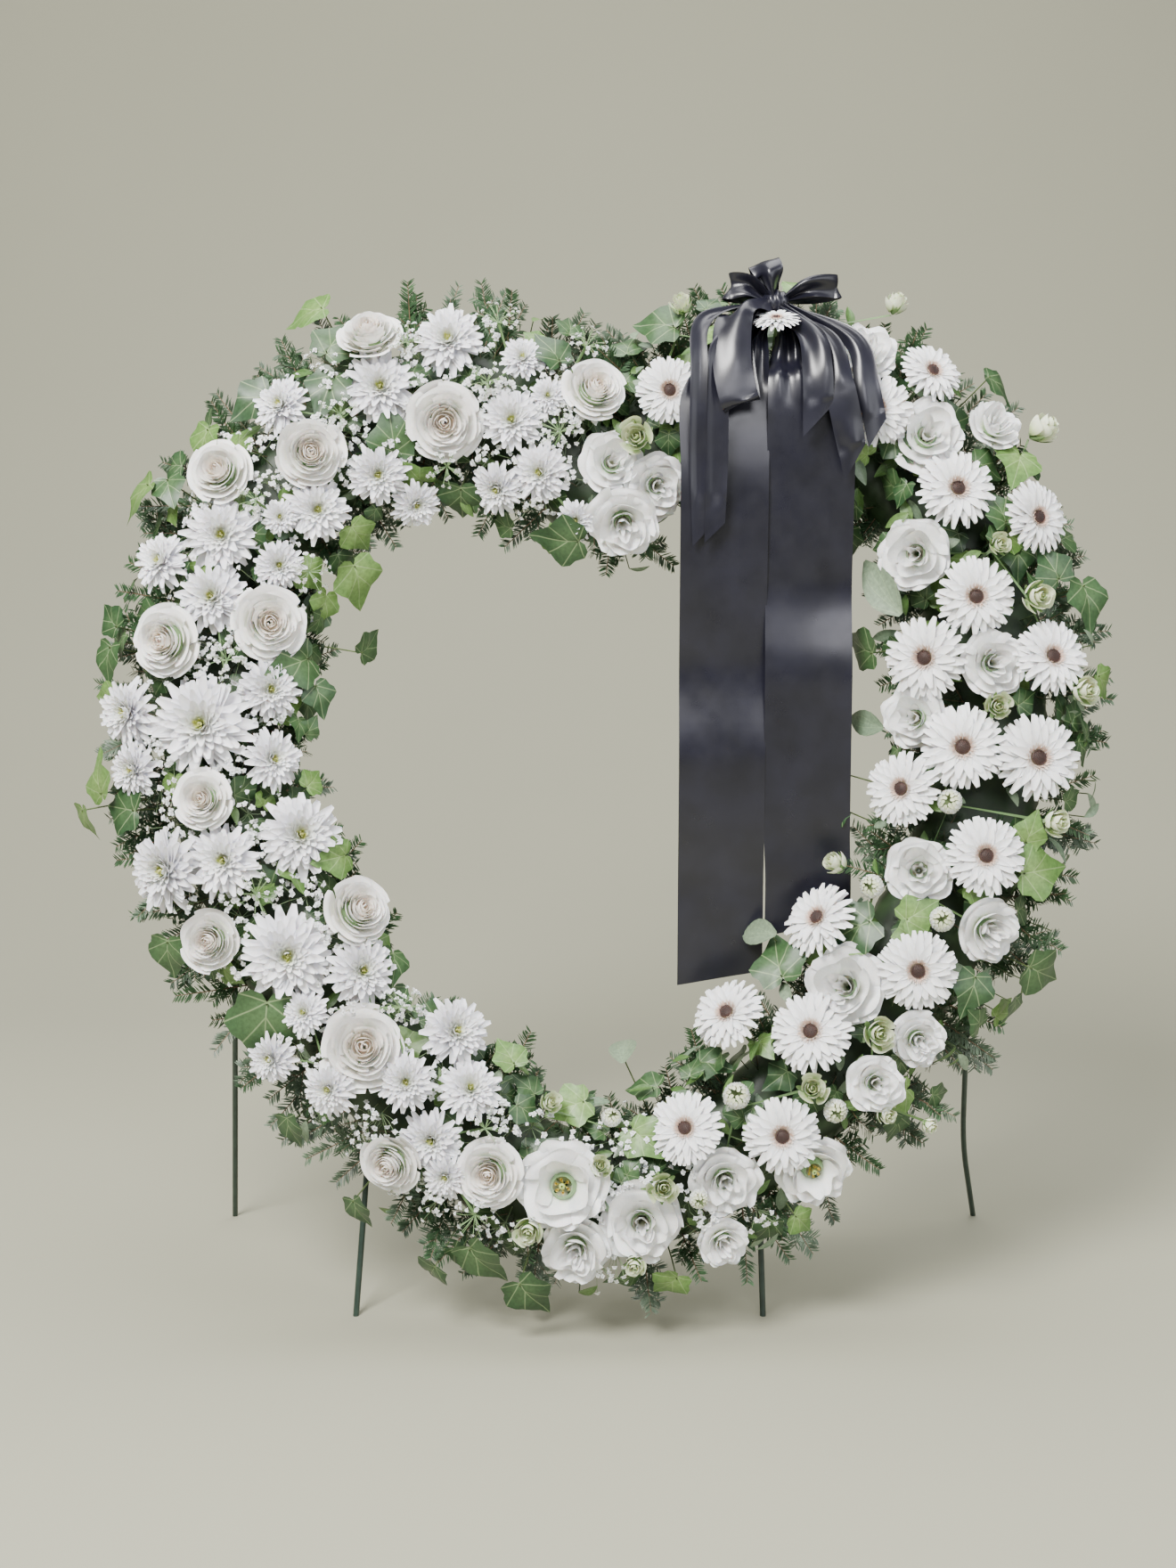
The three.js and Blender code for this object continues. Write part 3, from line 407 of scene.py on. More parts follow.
ROSE_TONES = (0.965, 0.945, 0.915), (0.985, 0.92, 0.85), (0.98, 0.85, 0.72)
BUD_TONES = (0.84, 0.88, 0.66), (0.74, 0.82, 0.48), (0.5, 0.62, 0.26)


def rose_form(opened=1.0, count=34, tones=ROSE_TONES, tall=0.0):
    """A double bloom of wrapped petals, from the wide outer ones to the tight heart that closes it."""
    heap = Heap()
    outer, inner, deep = tones
    for k in range(count):
        share = k / (count - 1)
        reach = 1.0 - 0.93 * share**0.9
        low = -0.62 + 0.66 * share
        rim = 0.02 + tall + 0.40 * smooth(share, 0, 0.55) - 0.03 * share
        half = 0.70 + 0.55 * share
        along = np.linspace(0, 1, 8)[:, None]
        across = np.linspace(-1, 1, 8)[None]
        s = np.maximum(along * (1 - 0.10 * across**4) + rng.normal(0, 0.008), 0)
        ripple = 0.022 * np.sin(across * 4 + rng.uniform(0, 6)) * smooth(along, 0.5, 1)
        wide = half * (0.45 + 0.55 * smooth(along, 0, 0.6)) * (1 - 0.1 * along**6)
        out = 0.05 + (reach - 0.05) * np.sin(s * math.pi / 2) ** (0.7 - 0.3 * share) + ripple
        high = low + (rim - low) * s**1.4 + ripple
        curl = (0.20 - 0.17 * share) * opened * smooth(s, 0.68, 1) ** 1.4 * rng.uniform(0.6, 1.2)
        lean_in = 0.07 * share * smooth(s, 0.75, 1)
        out = np.maximum(np.minimum(out + curl * 0.7, 1.05) - lean_in, 0.01)
        high = high - curl * 0.8 + 0.02 * across**2
        angle = k * SPIRAL + rng.normal(0, 0.14) + across * wide + 0.25 * share * across * s
        drift = rng.normal(0, 0.02, 2) * (1 - share)
        points = together(out * np.cos(angle) + drift[0], out * np.sin(angle) + drift[1], high)
        skin = mix(np.array(outer) * [0.88, 0.92, 0.78], outer, smooth(s, 0.15, 0.7))
        core = mix(deep, inner, smooth(s, 0.45, 1))
        shade = mix(skin, core, np.full(skin.shape[:-1], smooth(share, 0.45, 0.95)))
        heap.add(grids(points, shade, grain_of(along, across, 1)[0]))
    heap.add(cup_of(0.5, -0.74, (0.17, 0.3, 0.11)))
    return heap.form()


def lisianthus_form(eye=False):
    """A ruffled double bloom: loose rings of waved petals, some round an open yellow-green eye."""
    heap = Heap()
    rings = ((5, 1.0, 0.10), (5, 0.86, 0.24), (4, 0.62, 0.30), (4, 0.4, 0.34), (3, 0.2, 0.33))[:3 if eye else 5]
    for ring, (count, reach, rim) in enumerate(rings):
        for i in range(count):
            along = np.linspace(0, 1, 8)[:, None]
            across = np.linspace(-1, 1, 11)[None]
            s = np.maximum(along * (1 - 0.15 * across**4), 0)
            wave = rng.uniform(3.0, 6.5)
            ruffle = np.sin(across * wave + rng.uniform(0, 6)) * smooth(along, 0.35, 1)
            wide = (0.74 + 0.16 * ring) * (0.35 + 0.65 * smooth(along, 0, 0.65))
            far = (reach - 0.04) * rng.uniform(0.9, 1.06)
            out = 0.06 + (far - 0.06) * np.sin(s * math.pi / 2) + 0.05 * ruffle
            high = -0.55 + (rim + 0.55 + rng.normal(0, 0.03)) * s**0.7 - 0.14 * smooth(s, 0.6, 1) * (ring < 2)
            high = high + (0.10 + 0.02 * ring) * ruffle
            angle = (i + 0.5 * ring) * math.tau / count + rng.normal(0, 0.12) + across * wide
            points = together(out * np.cos(angle), out * np.sin(angle), high)
            shade = mix((0.84, 0.87, 0.66), (0.95, 0.945, 0.935), smooth(s, 0.1, 0.5))
            heap.add(grids(points, shade, grain_of(along, across, 1)[0]))
    if eye:
        for i in range(6):
            angle = i * math.pi / 3
            tip = [0.14 * math.cos(angle), 0.14 * math.sin(angle), 0.05]
            stamen = [[0, 0, -0.4], [tip[0] * 0.6, tip[1] * 0.6, -0.15], tip]
            heap.add(tube(stamen, [0.014, 0.014, 0.035], (0.86, 0.70, 0.10), 5))
        pistil = [[0, 0, z] for z in (-0.4, 0.0, 0.08, 0.1)]
        heap.add(tube(pistil, [0.04, 0.035, 0.07, 0.02], (0.42, 0.55, 0.14), 8))
    heap.add(cup_of(0.3, -0.64, (0.2, 0.36, 0.14)))
    return heap.form()


def bud_form():
    """A half-open lime bud: the wrapped petals stand up and close, with narrow sepals at the foot."""
    heap = Heap()
    points, quads, tint, grain = rose_form(0.25, 14, BUD_TONES, 0.3)
    points = points * [0.95, 0.95, 1.25] + [0, 0, 0.1]
    heap.add((points, quads, tint * mix((0.72, 0.85, 0.5), (1, 1, 1), smooth(points[:, 2], -0.5, 0.3)), grain))
    green = (0.22, 0.36, 0.12)
    heap.add(petal_form((green, green, 0, 1), np.arange(5) * math.tau / 5,
                        1.15, 0.3, 0.75, 0.4, -0.55, 0.25, 6, 3, -0.75))
    return heap.form()


def santini_form():
    heap = Heap()
    count = 80
    for i in range(count):
        share = (i + 0.5) / count
        polar = math.acos(1 - 1.18 * share)
        spin = i * SPIRAL
        way = np.array([math.sin(polar) * math.cos(spin), math.sin(polar) * math.sin(spin), math.cos(polar)])
        tip = (0.78, 0.82, 0.55) if share < 0.16 else (0.86, 0.86, 0.82)
        petal = petal_form(((0.66, 0.70, 0.45), tip, 0, 0.6), [0], 0.3, 0.2, 0.0, 0.5, 0.5, 0.0, 4, 3)
        up, toward = unit(way + [0, 0, 0.25]), way + [0.01, 0, -0.4]
        heap.add(petal, place(way * 0.68 * np.array([1, 1, 0.62]), up, rng.uniform(-0.4, 0.4), 1.15, toward))
    heap.add(cup_of(0.75, -0.5, (0.35, 0.45, 0.2)))
    return heap.form()


def gypsophila_form():
    heap = Heap()
    for i in range(24):
        angle = math.tau * (i % 5) / 5 + rng.normal(0, 0.22)
        reach = rng.uniform(0.35, 0.95)
        high = 0.05 + 0.26 * reach + rng.normal(0, 0.05)
        tip = np.array([reach * math.cos(angle), reach * math.sin(angle), high])
        heap.add(tube([[0, 0, -0.14], tip * [0.5, 0.5, 0.6], tip], 0.012, (0.24, 0.4, 0.16), 4))
        floret = petal_form(((0.7, 0.75, 0.55), (0.93, 0.93, 0.91), 0, 0.6), np.arange(9) * SPIRAL,
                            0.11, 0.09, np.linspace(0.1, 1.1, 9), 0.3, 0.3, 0.0, 3, 3)
        heap.add(floret, place(tip, tip + [0, 0, 0.5]))
    return heap.form()


# ---------------------------------------------------------------- greens, one unit long
LEAF_EDGE = np.array([
    (0.82, 0.0), (0.66, 0.12), (0.5, 0.22), (0.36, 0.31), (0.26, 0.44), (0.12, 0.56), (-0.04, 0.52), (-0.14, 0.42),
    (-0.32, 0.38), (-0.38, 0.22), (-0.32, 0.07), (-0.2, 0.0),
])
LEAF_EDGE = np.concatenate([LEAF_EDGE, LEAF_EDGE[-2:0:-1] * [1, -1]])


def ivy_form(tone, pale):
    """A lobed ivy leaf from its middle out; the grain holds where a point lies on the leaf."""
    share = np.linspace(0, 1, 5)[:, None, None]
    flat = LEAF_EDGE[None] * share
    reach = np.hypot(flat[..., 0], flat[..., 1])
    lift = -0.2 * reach**1.4 + 0.04 * np.sin(flat[..., 0] * 8 + flat[..., 1] * 3) * share[..., 0]
    lift = lift + rng.normal(0, 0.012, lift.shape) * share[..., 0]
    fold = 0.16 * np.abs(flat[..., 1])
    points = np.concatenate([flat, (lift + fold)[..., None]], -1)
    tint = mix(tone, np.array(tone) * 0.8 + np.array(pale) * 0.2, smooth(reach, 0.5, 0.1))
    grain = np.concatenate([flat, np.full(flat[..., :1].shape, rng.random())], -1)
    return grids(points, tint, grain, loop=True)


CUP = 0.12


def oval_form(tone, wide):
    """A smooth oval leaf such as eucalyptus or pistachio, from its stalk at the origin along x."""
    along = np.linspace(0, 1, 7)[:, None]
    across = np.linspace(-1, 1, 5)[None]
    half = wide * 0.5 * np.sin(np.clip(along, 0.02, 0.98) ** 0.85 * math.pi) ** 0.8
    points = together(along, across * half, 0.16 * along - 0.26 * along**2 + CUP * np.abs(across) * half * 2)
    tint = mix(np.array(tone) * 1.25, tone, np.abs(across) + 0 * along)
    return grids(points, tint, together(along, across, rng.random()))


NEEDLE_THICK, NEEDLE_ROWS = 1.55, 3


def needles(heap, line, long, apart, tone, flat, fine=True):
    """Fir needles along a twig of points, combed to both sides of it and a few above. Coarse ones have no foot."""
    line = np.asarray(line, float)
    spans = np.linalg.norm(np.diff(line, axis=0), axis=1)
    where = np.concatenate([[0], np.cumsum(spans)])
    count = max(4, int(where[-1] / apart))
    s = np.sort(rng.uniform(0, where[-1], count * NEEDLE_ROWS))
    at = np.stack([np.interp(s, where, line[:, k]) for k in range(3)], -1)
    index = np.clip(np.searchsorted(where, s) - 1, 0, len(spans) - 1)
    along = unit(np.diff(line, axis=0)[index])
    up = unit(np.asarray(flat, float) - along * (along @ np.asarray(flat, float))[:, None])
    side = np.cross(up, along)
    turn = rng.choice([-1, 1], len(s)) * rng.uniform(0.7, 1.5, len(s))
    out = side * np.sin(turn)[:, None] + up * np.cos(turn)[:, None] * rng.uniform(0.25, 0.8, (len(s), 1))
    lean = rng.uniform(0.5, 0.85, (len(s), 1))
    way = unit(out + along * lean)
    size = long * rng.uniform(0.75, 1.1, (len(s), 1)) * (1 - 0.3 * smooth(s, where[-1] * 0.75, where[-1]))[:, None]
    across = unit(np.cross(way, up + 0.01)) * NEEDLE_THICK * 0.5
    bow = up * size * 0.06
    belly, tip = at + way * size * 0.55, at + way * size
    points = np.stack([
        np.stack([at - across * 0.5, at + across * 0.5], 1),
        np.stack([belly - across + bow, belly + across + bow], 1),
        np.stack([tip - across * 0.25, tip + across * 0.25], 1),
    ], 1)
    if not fine:
        points = points[:, 1:] + (points[:, :1] - points[:, 1:2]) * np.array([0.8, 0])[None, :, None, None]
    shade = np.asarray(tone)[None, None, None] * rng.uniform(0.65, 1.3, (len(s), 1, 1, 1))
    # Each needle is painted darker at its foot and lighter at its tip, on top of its random tone: painted shade
    # where the needles crowd the twig and painted light on their tips.
    shade = shade * np.linspace(0.78, 1.12, points.shape[1])[None, :, None, None]
    heap.add(grids(points, shade, np.broadcast_to(rng.random((len(s), 1, 1, 1)), points.shape)))


FIR_TONE = (0.040, 0.090, 0.036)
FIR_GREY = (0.085, 0.13, 0.078)
BARK = (0.16, 0.10, 0.055)


def fir_spray(foot, tip, up, side, pairs, long=14.0):
    """A flat fir spray from its foot to its tip, with side twigs the length its solid has."""
    heap = Heap()
    foot, tip = np.asarray(foot, float), np.asarray(tip, float)
    way = tip - foot
    length = np.linalg.norm(way)
    way /= length
    up = unit(up - way * np.dot(up, way))
    across = np.cross(up, way)
    t = np.linspace(0, 1, 7)[:, None]
    spine = foot + way * length * (t * 0.97) - up * (5 * t * t - 5 * t)
    tone = np.array(FIR_GREY if rng.random() < 0.3 else FIR_TONE) * rng.uniform(0.75, 1.2)
    heap.add(tube(spine, 1.0, BARK, 5, 0.4))
    needles(heap, spine, long, 2.0, tone, up)
    for k in range(pairs):
        for hand in (-1, 1):
            share = 0.14 + 0.17 * k + (0.06 if hand > 0 else 0)
            start = foot + way * length * share
            reach = side * (1.02 - 0.12 * k) * rng.uniform(0.9, 1.05)
            end = start + (across * hand * 0.74 + way * 0.68) * reach - up * rng.uniform(0, 3)
            twig = np.stack([start, (start + end) / 2 + up * 1.5, end])
            heap.add(tube(twig, 0.7, BARK, 4, 0.4))
            needles(heap, twig, long * 0.9, 2.0, tone * rng.uniform(0.9, 1.2), up)
    return heap.form()


# ---------------------------------------------------------------- pieces
def piece(name, forms, material, nodes):
    """One mesh object out of forms in heart millimetres, riding on the body in place of its nodes."""
    heap = Heap()
    for form in forms:
        heap.add(form)
    points, quads, tints, grains = heap.form()
    mesh = bpy.data.meshes.new(name)
    mesh.vertices.add(len(points))
    mesh.vertices.foreach_set("co", row(points).astype(np.float32).ravel())
    mesh.loops.add(quads.size)
    mesh.loops.foreach_set("vertex_index", quads.astype(np.int32).ravel())
    mesh.polygons.add(len(quads))
    mesh.polygons.foreach_set("loop_start", np.arange(0, quads.size, 4, dtype=np.int32))
    mesh.polygons.foreach_set("use_smooth", np.ones(len(quads), bool))
    colour = mesh.attributes.new("tint", "FLOAT_COLOR", "POINT")
    tints = np.concatenate([tints, np.ones((len(tints), 1))], 1)
    colour.data.foreach_set("color", tints.astype(np.float32).ravel())
    grain = mesh.attributes.new("grain", "FLOAT_VECTOR", "POINT")
    grain.data.foreach_set("vector", grains.astype(np.float32).ravel())
    mesh.update(calc_edges=True)
    mesh.validate()
    made = bpy.data.objects.new(name, mesh)
    bpy.context.scene.collection.objects.link(made)
    made.data.materials.append(material)
    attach(made, "root")
    if nodes:
        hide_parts(*nodes)
    return made


# ---------------------------------------------------------------- materials
def begin(name, roughness, **inputs):
    material = bpy.data.materials.new(name)
    material.use_nodes = True
    tree = material.node_tree
    shader = tree.nodes["Principled BSDF"]
    shader.inputs["Roughness"].default_value = roughness
    for key, value in inputs.items():
        shader.inputs[key.replace("_", " ")].default_value = value
    return material, tree, shader


def node(tree, kind, **settings):
    made = tree.nodes.new("ShaderNode" + kind)
    for key, value in settings.items():
        if hasattr(made, key) and not isinstance(getattr(made, key), bpy.types.bpy_prop_collection):
            setattr(made, key, value)
        else:
            made.inputs[key.replace("_", " ")].default_value = value
    return made


def ramp(tree, source, stops):
    made = tree.nodes.new("ShaderNodeValToRGB")
    while len(made.color_ramp.elements) < len(stops):
        made.color_ramp.elements.new(0.5)
    for element, (at, value) in zip(made.color_ramp.elements, stops):
        element.position = at
        element.color = (value, value, value, 1) if isinstance(value, (int, float)) else (*value, 1)
    tree.links.new(source, made.inputs[0])
    return made


def multiply(tree, a, b, share=1.0):
    made = tree.nodes.new("ShaderNodeMix")
    made.data_type = "RGBA"
    made.blend_type = "MULTIPLY"
    made.inputs[0].default_value = share
    tree.links.new(a, made.inputs[6])
    tree.links.new(b, made.inputs[7])
    return made.outputs[2]


def bump(tree, shader, height, strength, distance):
    made = node(tree, "Bump", Strength=strength, Distance=distance)
    tree.links.new(height, made.inputs["Height"])
    tree.links.new(made.outputs[0], shader.inputs["Normal"])


def mottle(tree, source, low, high):
    """The tint of each form, broken by a ramp over some noise."""
    tint = node(tree, "Attribute", attribute_name="tint")
    tones = ramp(tree, source, [(0.3, low), (0.7, high)])
    return multiply(tree, tint.outputs["Color"], tones.outputs[0])


def grain_noise(tree, scale, stretch):
    """Noise laid out in a form's own grain, stretched along it."""
    grain = node(tree, "Attribute", attribute_name="grain")
    mapping = node(tree, "Mapping", Scale=stretch)
    tree.links.new(grain.outputs["Vector"], mapping.inputs["Vector"])
    noise = node(tree, "TexNoise", Scale=scale, Detail=3)
    tree.links.new(mapping.outputs[0], noise.inputs["Vector"])
    return noise.outputs[0]


def object_noise(tree, scale, detail):
    coords = node(tree, "TexCoord")
    noise = node(tree, "TexNoise", Scale=scale, Detail=detail)
    tree.links.new(coords.outputs["Object"], noise.inputs["Vector"])
    return noise.outputs[0]


def maths(tree, operation, *values):
    """A Math node fed by sockets and plain numbers."""
    made = node(tree, "Math", operation=operation)
    for socket, value in zip(made.inputs, values):
        if isinstance(value, float):
            socket.default_value = value
        else:
            tree.links.new(value, socket)
    return made.outputs[0]


def petal_material(name, streak, glow):
    material, tree, shader = begin(
        name, 0.62, Subsurface_Weight=glow, Subsurface_Scale=0.004, Subsurface_Radius=(1.0, 0.75, 0.55),
        Sheen_Weight=0.15, Sheen_Roughness=0.6)
    base = mottle(tree, grain_noise(tree, 3.0, (0.7, 9.0, 40.0)), 1 - streak, 1.0)
    tree.links.new(base, shader.inputs["Base Color"])
    bump(tree, shader, grain_noise(tree, 4.0, (0.6, 12.0, 40.0)), 0.35, 0.0006)
    return material


def leaf_material(name, roughness, vein):
    """Waxy leaf: its tint broken by soft mottling, with pale veins worked from the place on the leaf."""
    material, tree, shader = begin(name, roughness, Specular_IOR_Level=0.5)
    grain = node(tree, "Attribute", attribute_name="grain")
    split = node(tree, "SeparateXYZ")
    tree.links.new(grain.outputs["Vector"], split.inputs[0])
    across = maths(tree, "ABSOLUTE", split.outputs[1])
    nearest = across
    for slope, shift, share in ((1.75, 0.35, 0.5), (-3.2, -0.64, 0.3), (0.75, 0.0, 0.8)):
        beside = maths(tree, "MULTIPLY_ADD", split.outputs[0], -slope, across)
        away = maths(tree, "ABSOLUTE", maths(tree, "ADD", beside, -shift))
        nearest = maths(tree, "MINIMUM", nearest, maths(tree, "MULTIPLY", away, share))
    veins = ramp(tree, nearest, [(0.002, 0.38), (0.016, 0.0)])
    paint = node(tree, "Mix", data_type="RGBA")
    paint.inputs[7].default_value = (*vein, 1)
    tree.links.new(veins.outputs[0], paint.inputs[0])
    tree.links.new(mottle(tree, object_noise(tree, 260.0, 4.0), 0.72, 1.15), paint.inputs[6])
    tree.links.new(paint.outputs[2], shader.inputs["Base Color"])
    bump(tree, shader, veins.outputs[0], 0.4, 0.0005)
    return material


def needle_material():
    material, tree, shader = begin("fir_needles", 0.48)
    noise = object_noise(tree, 60.0, 3.0)
    tree.links.new(mottle(tree, noise, 0.7, 1.25), shader.inputs["Base Color"])
    bump(tree, shader, noise, 0.15, 0.0004)
    return material


PETALS = {
    "rose": petal_material("rose_petal", 0.06, 0.4),
    "gerbera": petal_material("gerbera_petal", 0.12, 0.3),
    "chrysanthemum": petal_material("chrysanthemum_petal", 0.10, 0.3),
    "lisianthus": petal_material("lisianthus_petal", 0.08, 0.4),
}
IVY_LEAF = leaf_material("ivy_leaf", 0.42, (0.42, 0.52, 0.26))
NEEDLES = needle_material()


# ---------------------------------------------------------------- where the solids have their heads
MESH = {name: heart(node_points(name)) for name in NODES if NODES[name].type == "MESH"}


CLOUD_WIDE = 46
SETTLED, NEARER = 0.05, 1e-6


def settle(family, kind, spot, way=None):
    """The node, middle, facing and radius of a head, read off the solids: each kind's middle stands out."""
    x, y, width, lift = (spot + [CLOUD_WIDE, 0][len(spot) - 2:])[:4]
    u, v = (x - PHOTO_AXIS) * PHOTO_SCALE, MIDDLE_UP + (PHOTO_MIDDLE - y) * PHOTO_SCALE
    _, _, height, faces = dome(u, v)
    faces = faces if way is None else unit(way)
    rise, middle, _, _ = KINDS[kind]
    best = (math.inf, None)
    for step in range(90):
        radius = width * PHOTO_SCALE / 2 * 0.975**step
        centre = np.array([u, v, height + rise + lift + 2 * step])
        peak = centre + faces * middle * radius
        for name in family:
            away = float(np.min(np.linalg.norm(MESH[name] - peak, axis=1)))
            if away < best[0] - NEARER:
                best = (away, (name, centre, faces, radius))
        if best[0] < SETTLED:
            break
    return best[1]


FAMILIES = {family: [name for name in MESH if name.startswith(family)] for family in PETALS}
heads = [("gerbera", *settle(["gerbera_19"], "gerbera", BOW_GERBERA, (0, 0.85, 0.5)))]
for kind, spots in (("rose", ROSES), ("gerbera", GERBERAS)):
    for i, spot in enumerate(spots):
        heads.append((kind, *settle([f"{kind}_{i + 1:02d}"], kind, spot)))
for kind, spots, family in (
    ("mum", MUMS, "chrysanthemum"), ("gypsophila", GYPSOPHILA, "chrysanthemum"),
    ("lisianthus", LISIANTHUS, "lisianthus"), ("bud", BUDS, "lisianthus"), ("santini", SANTINI, "lisianthus"),
):
    heads += [(kind, *settle(FAMILIES[family], kind, spot)) for spot in spots]

FORMS = {
    "rose": [rose_form(opened) for opened in (1.0, 0.7, 1.2)],
    "gerbera": [gerbera_form() for _ in range(3)],
    "mum": [mum_form() for _ in range(3)],
    "lisianthus": [lisianthus_form(eye) for eye in (False, False, False, True)],
    "bud": [bud_form()],
    "santini": [santini_form()],
    "gypsophila": [gypsophila_form(), gypsophila_form()],
}
STALK_GREEN = (0.10, 0.2, 0.055)


def stems_of(name):
    """The stems of a node: the triangles of its solid below the heads, each as three quads round its middle."""
    points = MESH[name]
    is_head = np.zeros(len(points), bool)
    for kind, of, centre, faces, radius in heads:
        if of == name:
            local = points - centre
            deep = local @ faces
            flat = np.linalg.norm(local - deep[:, None] * faces, axis=1)
            neck = KINDS[kind][2]
            is_head |= (deep > 0.4 - neck * radius) & (deep < 1.4 * radius) & (flat < 1.12 * radius)
    tris = np.array([list(f.vertices) for f in NODES[name].data.polygons])
    tris = tris[~is_head[tris].any(1)]
    a, b, c = points[tris[:, 0]], points[tris[:, 1]], points[tris[:, 2]]
    every = np.stack([a, b, c, (a + b) / 2, (b + c) / 2, (c + a) / 2, (a + b + c) / 3], 1)
    quads = np.array([[0, 3, 6, 5], [1, 4, 6, 3], [2, 5, 6, 4]])
    quads = (quads[None] + np.arange(len(tris))[:, None, None] * 7).reshape(-1, 4)
    flat = every.reshape(-1, 3)
    return flat, quads, np.broadcast_to(STALK_GREEN, flat.shape), np.full(flat.shape, 0.5)


for family, names in FAMILIES.items():
    for name in names:
        forms = []
        for kind, of, centre, faces, radius in heads:
            if of == name:
                points, quads, tint, grain = FORMS[kind][rng.integers(len(FORMS[kind]))]
                up = unit(faces + rng.normal(0, 0.09, 3))
                matrix = place(centre, up, rng.uniform(0, 6.28), radius * KINDS[kind][3])
                forms.append(Heap().add((points, quads, tint * rng.uniform(0.95, 1.02), grain), matrix).form())
        piece(f"{name}_bloom", [*forms, stems_of(name)], PETALS[family], [name])


# ---------------------------------------------------------------- where the greens have their leaves and fir
def welded(name):
    """A solid's points with the ones that share a place joined, and the neighbours of each."""
    points = MESH[name]
    _, first, same = np.unique(np.round(points, 2), axis=0, return_index=True, return_inverse=True)
    same = same.ravel()
    around = [set() for _ in first]
    for edge in NODES[name].data.edges:
        a, b = same[edge.vertices[0]], same[edge.vertices[1]]
        if a != b:
            around[a].add(b)
            around[b].add(a)
    return points[first], [sorted(n) for n in around]


# How a solid's ivy leaf and fir twig are known: the leaf's middle has eight neighbours, spaced like these shares
# of its length, and the twig's tip has three, all at one distance. A spray's foot lies on the foam's side.
LEAF_SPACING = np.array([0.225, 0.477, 0.477, 0.53, 0.53, 0.68, 0.68, 1.0])
LEAF_LONG = 0.98
TIP_LONG = 14.3
SPRAY_BEYOND = 95
SPRAY_FOOT_OFFSET, SPRAY_FOOT_HEIGHT = 61, 18
SECTORS = 8
GREENS = [f"greens_{k + 1}" for k in range(SECTORS)]
leaves, sprays = [], []
for name in GREENS:
    points, neighbours = welded(name)
    for point, near in zip(points, neighbours):
        apart = np.linalg.norm(points[near] - point, axis=1)
        if len(near) == 8:
            order = np.argsort(apart)
            if np.abs(apart[order] / apart.max() - LEAF_SPACING).max() < 0.09:
                tip, notch = points[near[order[-1]]], points[near[order[0]]]
                toward = unit(tip - notch)
                up = unit(np.cross(toward, unit(points[near[order[5]]] - points[near[order[6]]])))
                up = up if up[2] > 0 else -up
                leaves.append((name, point - up * 1.6, up, toward, np.linalg.norm(tip - notch) / LEAF_LONG))
        if len(near) == 3:
            offset = dome(*point[:2])[1]
            if np.abs(apart - TIP_LONG).max() < 0.5 and abs(offset) > SPRAY_BEYOND:
                back = unit(points[near].mean(0) - point)
                feet = point + back * np.arange(55.0, 104.0, 0.5)[:, None]
                error = [
                    abs(abs(dome(*foot[:2])[1]) - SPRAY_FOOT_OFFSET) + abs(foot[2] - SPRAY_FOOT_HEIGHT)
                    for foot in feet
                ]
                sprays.append((name, feet[int(np.argmin(error))], point, offset))


# ---------------------------------------------------------------- the greens
IVY_BRIGHT = [(0.10, 0.21, 0.045), (0.13, 0.25, 0.06)]
IVY_DARK = [(0.022, 0.062, 0.020), (0.035, 0.085, 0.028)]
EUCALYPTUS = [(0.17, 0.23, 0.15), (0.13, 0.19, 0.12)]
PISTACHIO = [(0.06, 0.13, 0.03), (0.09, 0.17, 0.045)]
BRIGHT_SPOTS = [
    (342, 328), (222, 481), (146, 540), (395, 638), (100, 878), (76, 912), (379, 961), (573, 1187), (646, 1238),
    (717, 1272), (754, 1436), (896, 1367), (1024, 1027), (1160, 978), (1155, 938), (1244, 760), (1152, 508),
    (909, 308), (946, 864),
]
GREY_SPOTS = [(844, 1187), (861, 1048), (1001, 664), (985, 808), (700, 1185)]


def near_any(point, spots, within):
    """Whether a point lies close to one of the photo's spots, in its pixels."""
    x = point[0] / PHOTO_SCALE + PHOTO_AXIS
    y = PHOTO_MIDDLE - (point[1] - MIDDLE_UP) / PHOTO_SCALE
    return any(math.hypot(x - a, y - b) < within for a, b in spots)


IVY_FORMS = {
    "bright": [ivy_form(tone, (0.35, 0.45, 0.15)) for tone in IVY_BRIGHT for _ in range(2)],
    "dark": [ivy_form(tone, (0.16, 0.26, 0.1)) for tone in IVY_DARK for _ in range(2)],
}
GREY_FORMS = [oval_form(t, 0.5) for t in EUCALYPTUS]
SMALL_FORMS = [oval_form(t, 0.42) for t in PISTACHIO + EUCALYPTUS]
head_places, head_faces, head_radii = (np.array([head[k] for head in heads]) for k in (2, 3, 4))


def clear_of_heads(points, slack=0.0):
    """Whether each point is outside every head's bowl."""
    local = points[:, None] - head_places[None]
    deep = (local * head_faces[None]).sum(-1)
    flat = np.sqrt(np.maximum((local**2).sum(-1) - deep**2, 0))
    inside = (flat < head_radii * (0.98 - slack)) & (deep > -0.35 * head_radii) & (deep < head_radii * 0.9)
    return ~inside.any(1)


def sector_of(t):
    return GREENS[int((t % 1) * SECTORS)]


def one_of(forms):
    return forms[rng.integers(len(forms))]


def set_in(form, *where):
    """A form moved to its place."""
    return Heap().add(form, place(*where)).form()


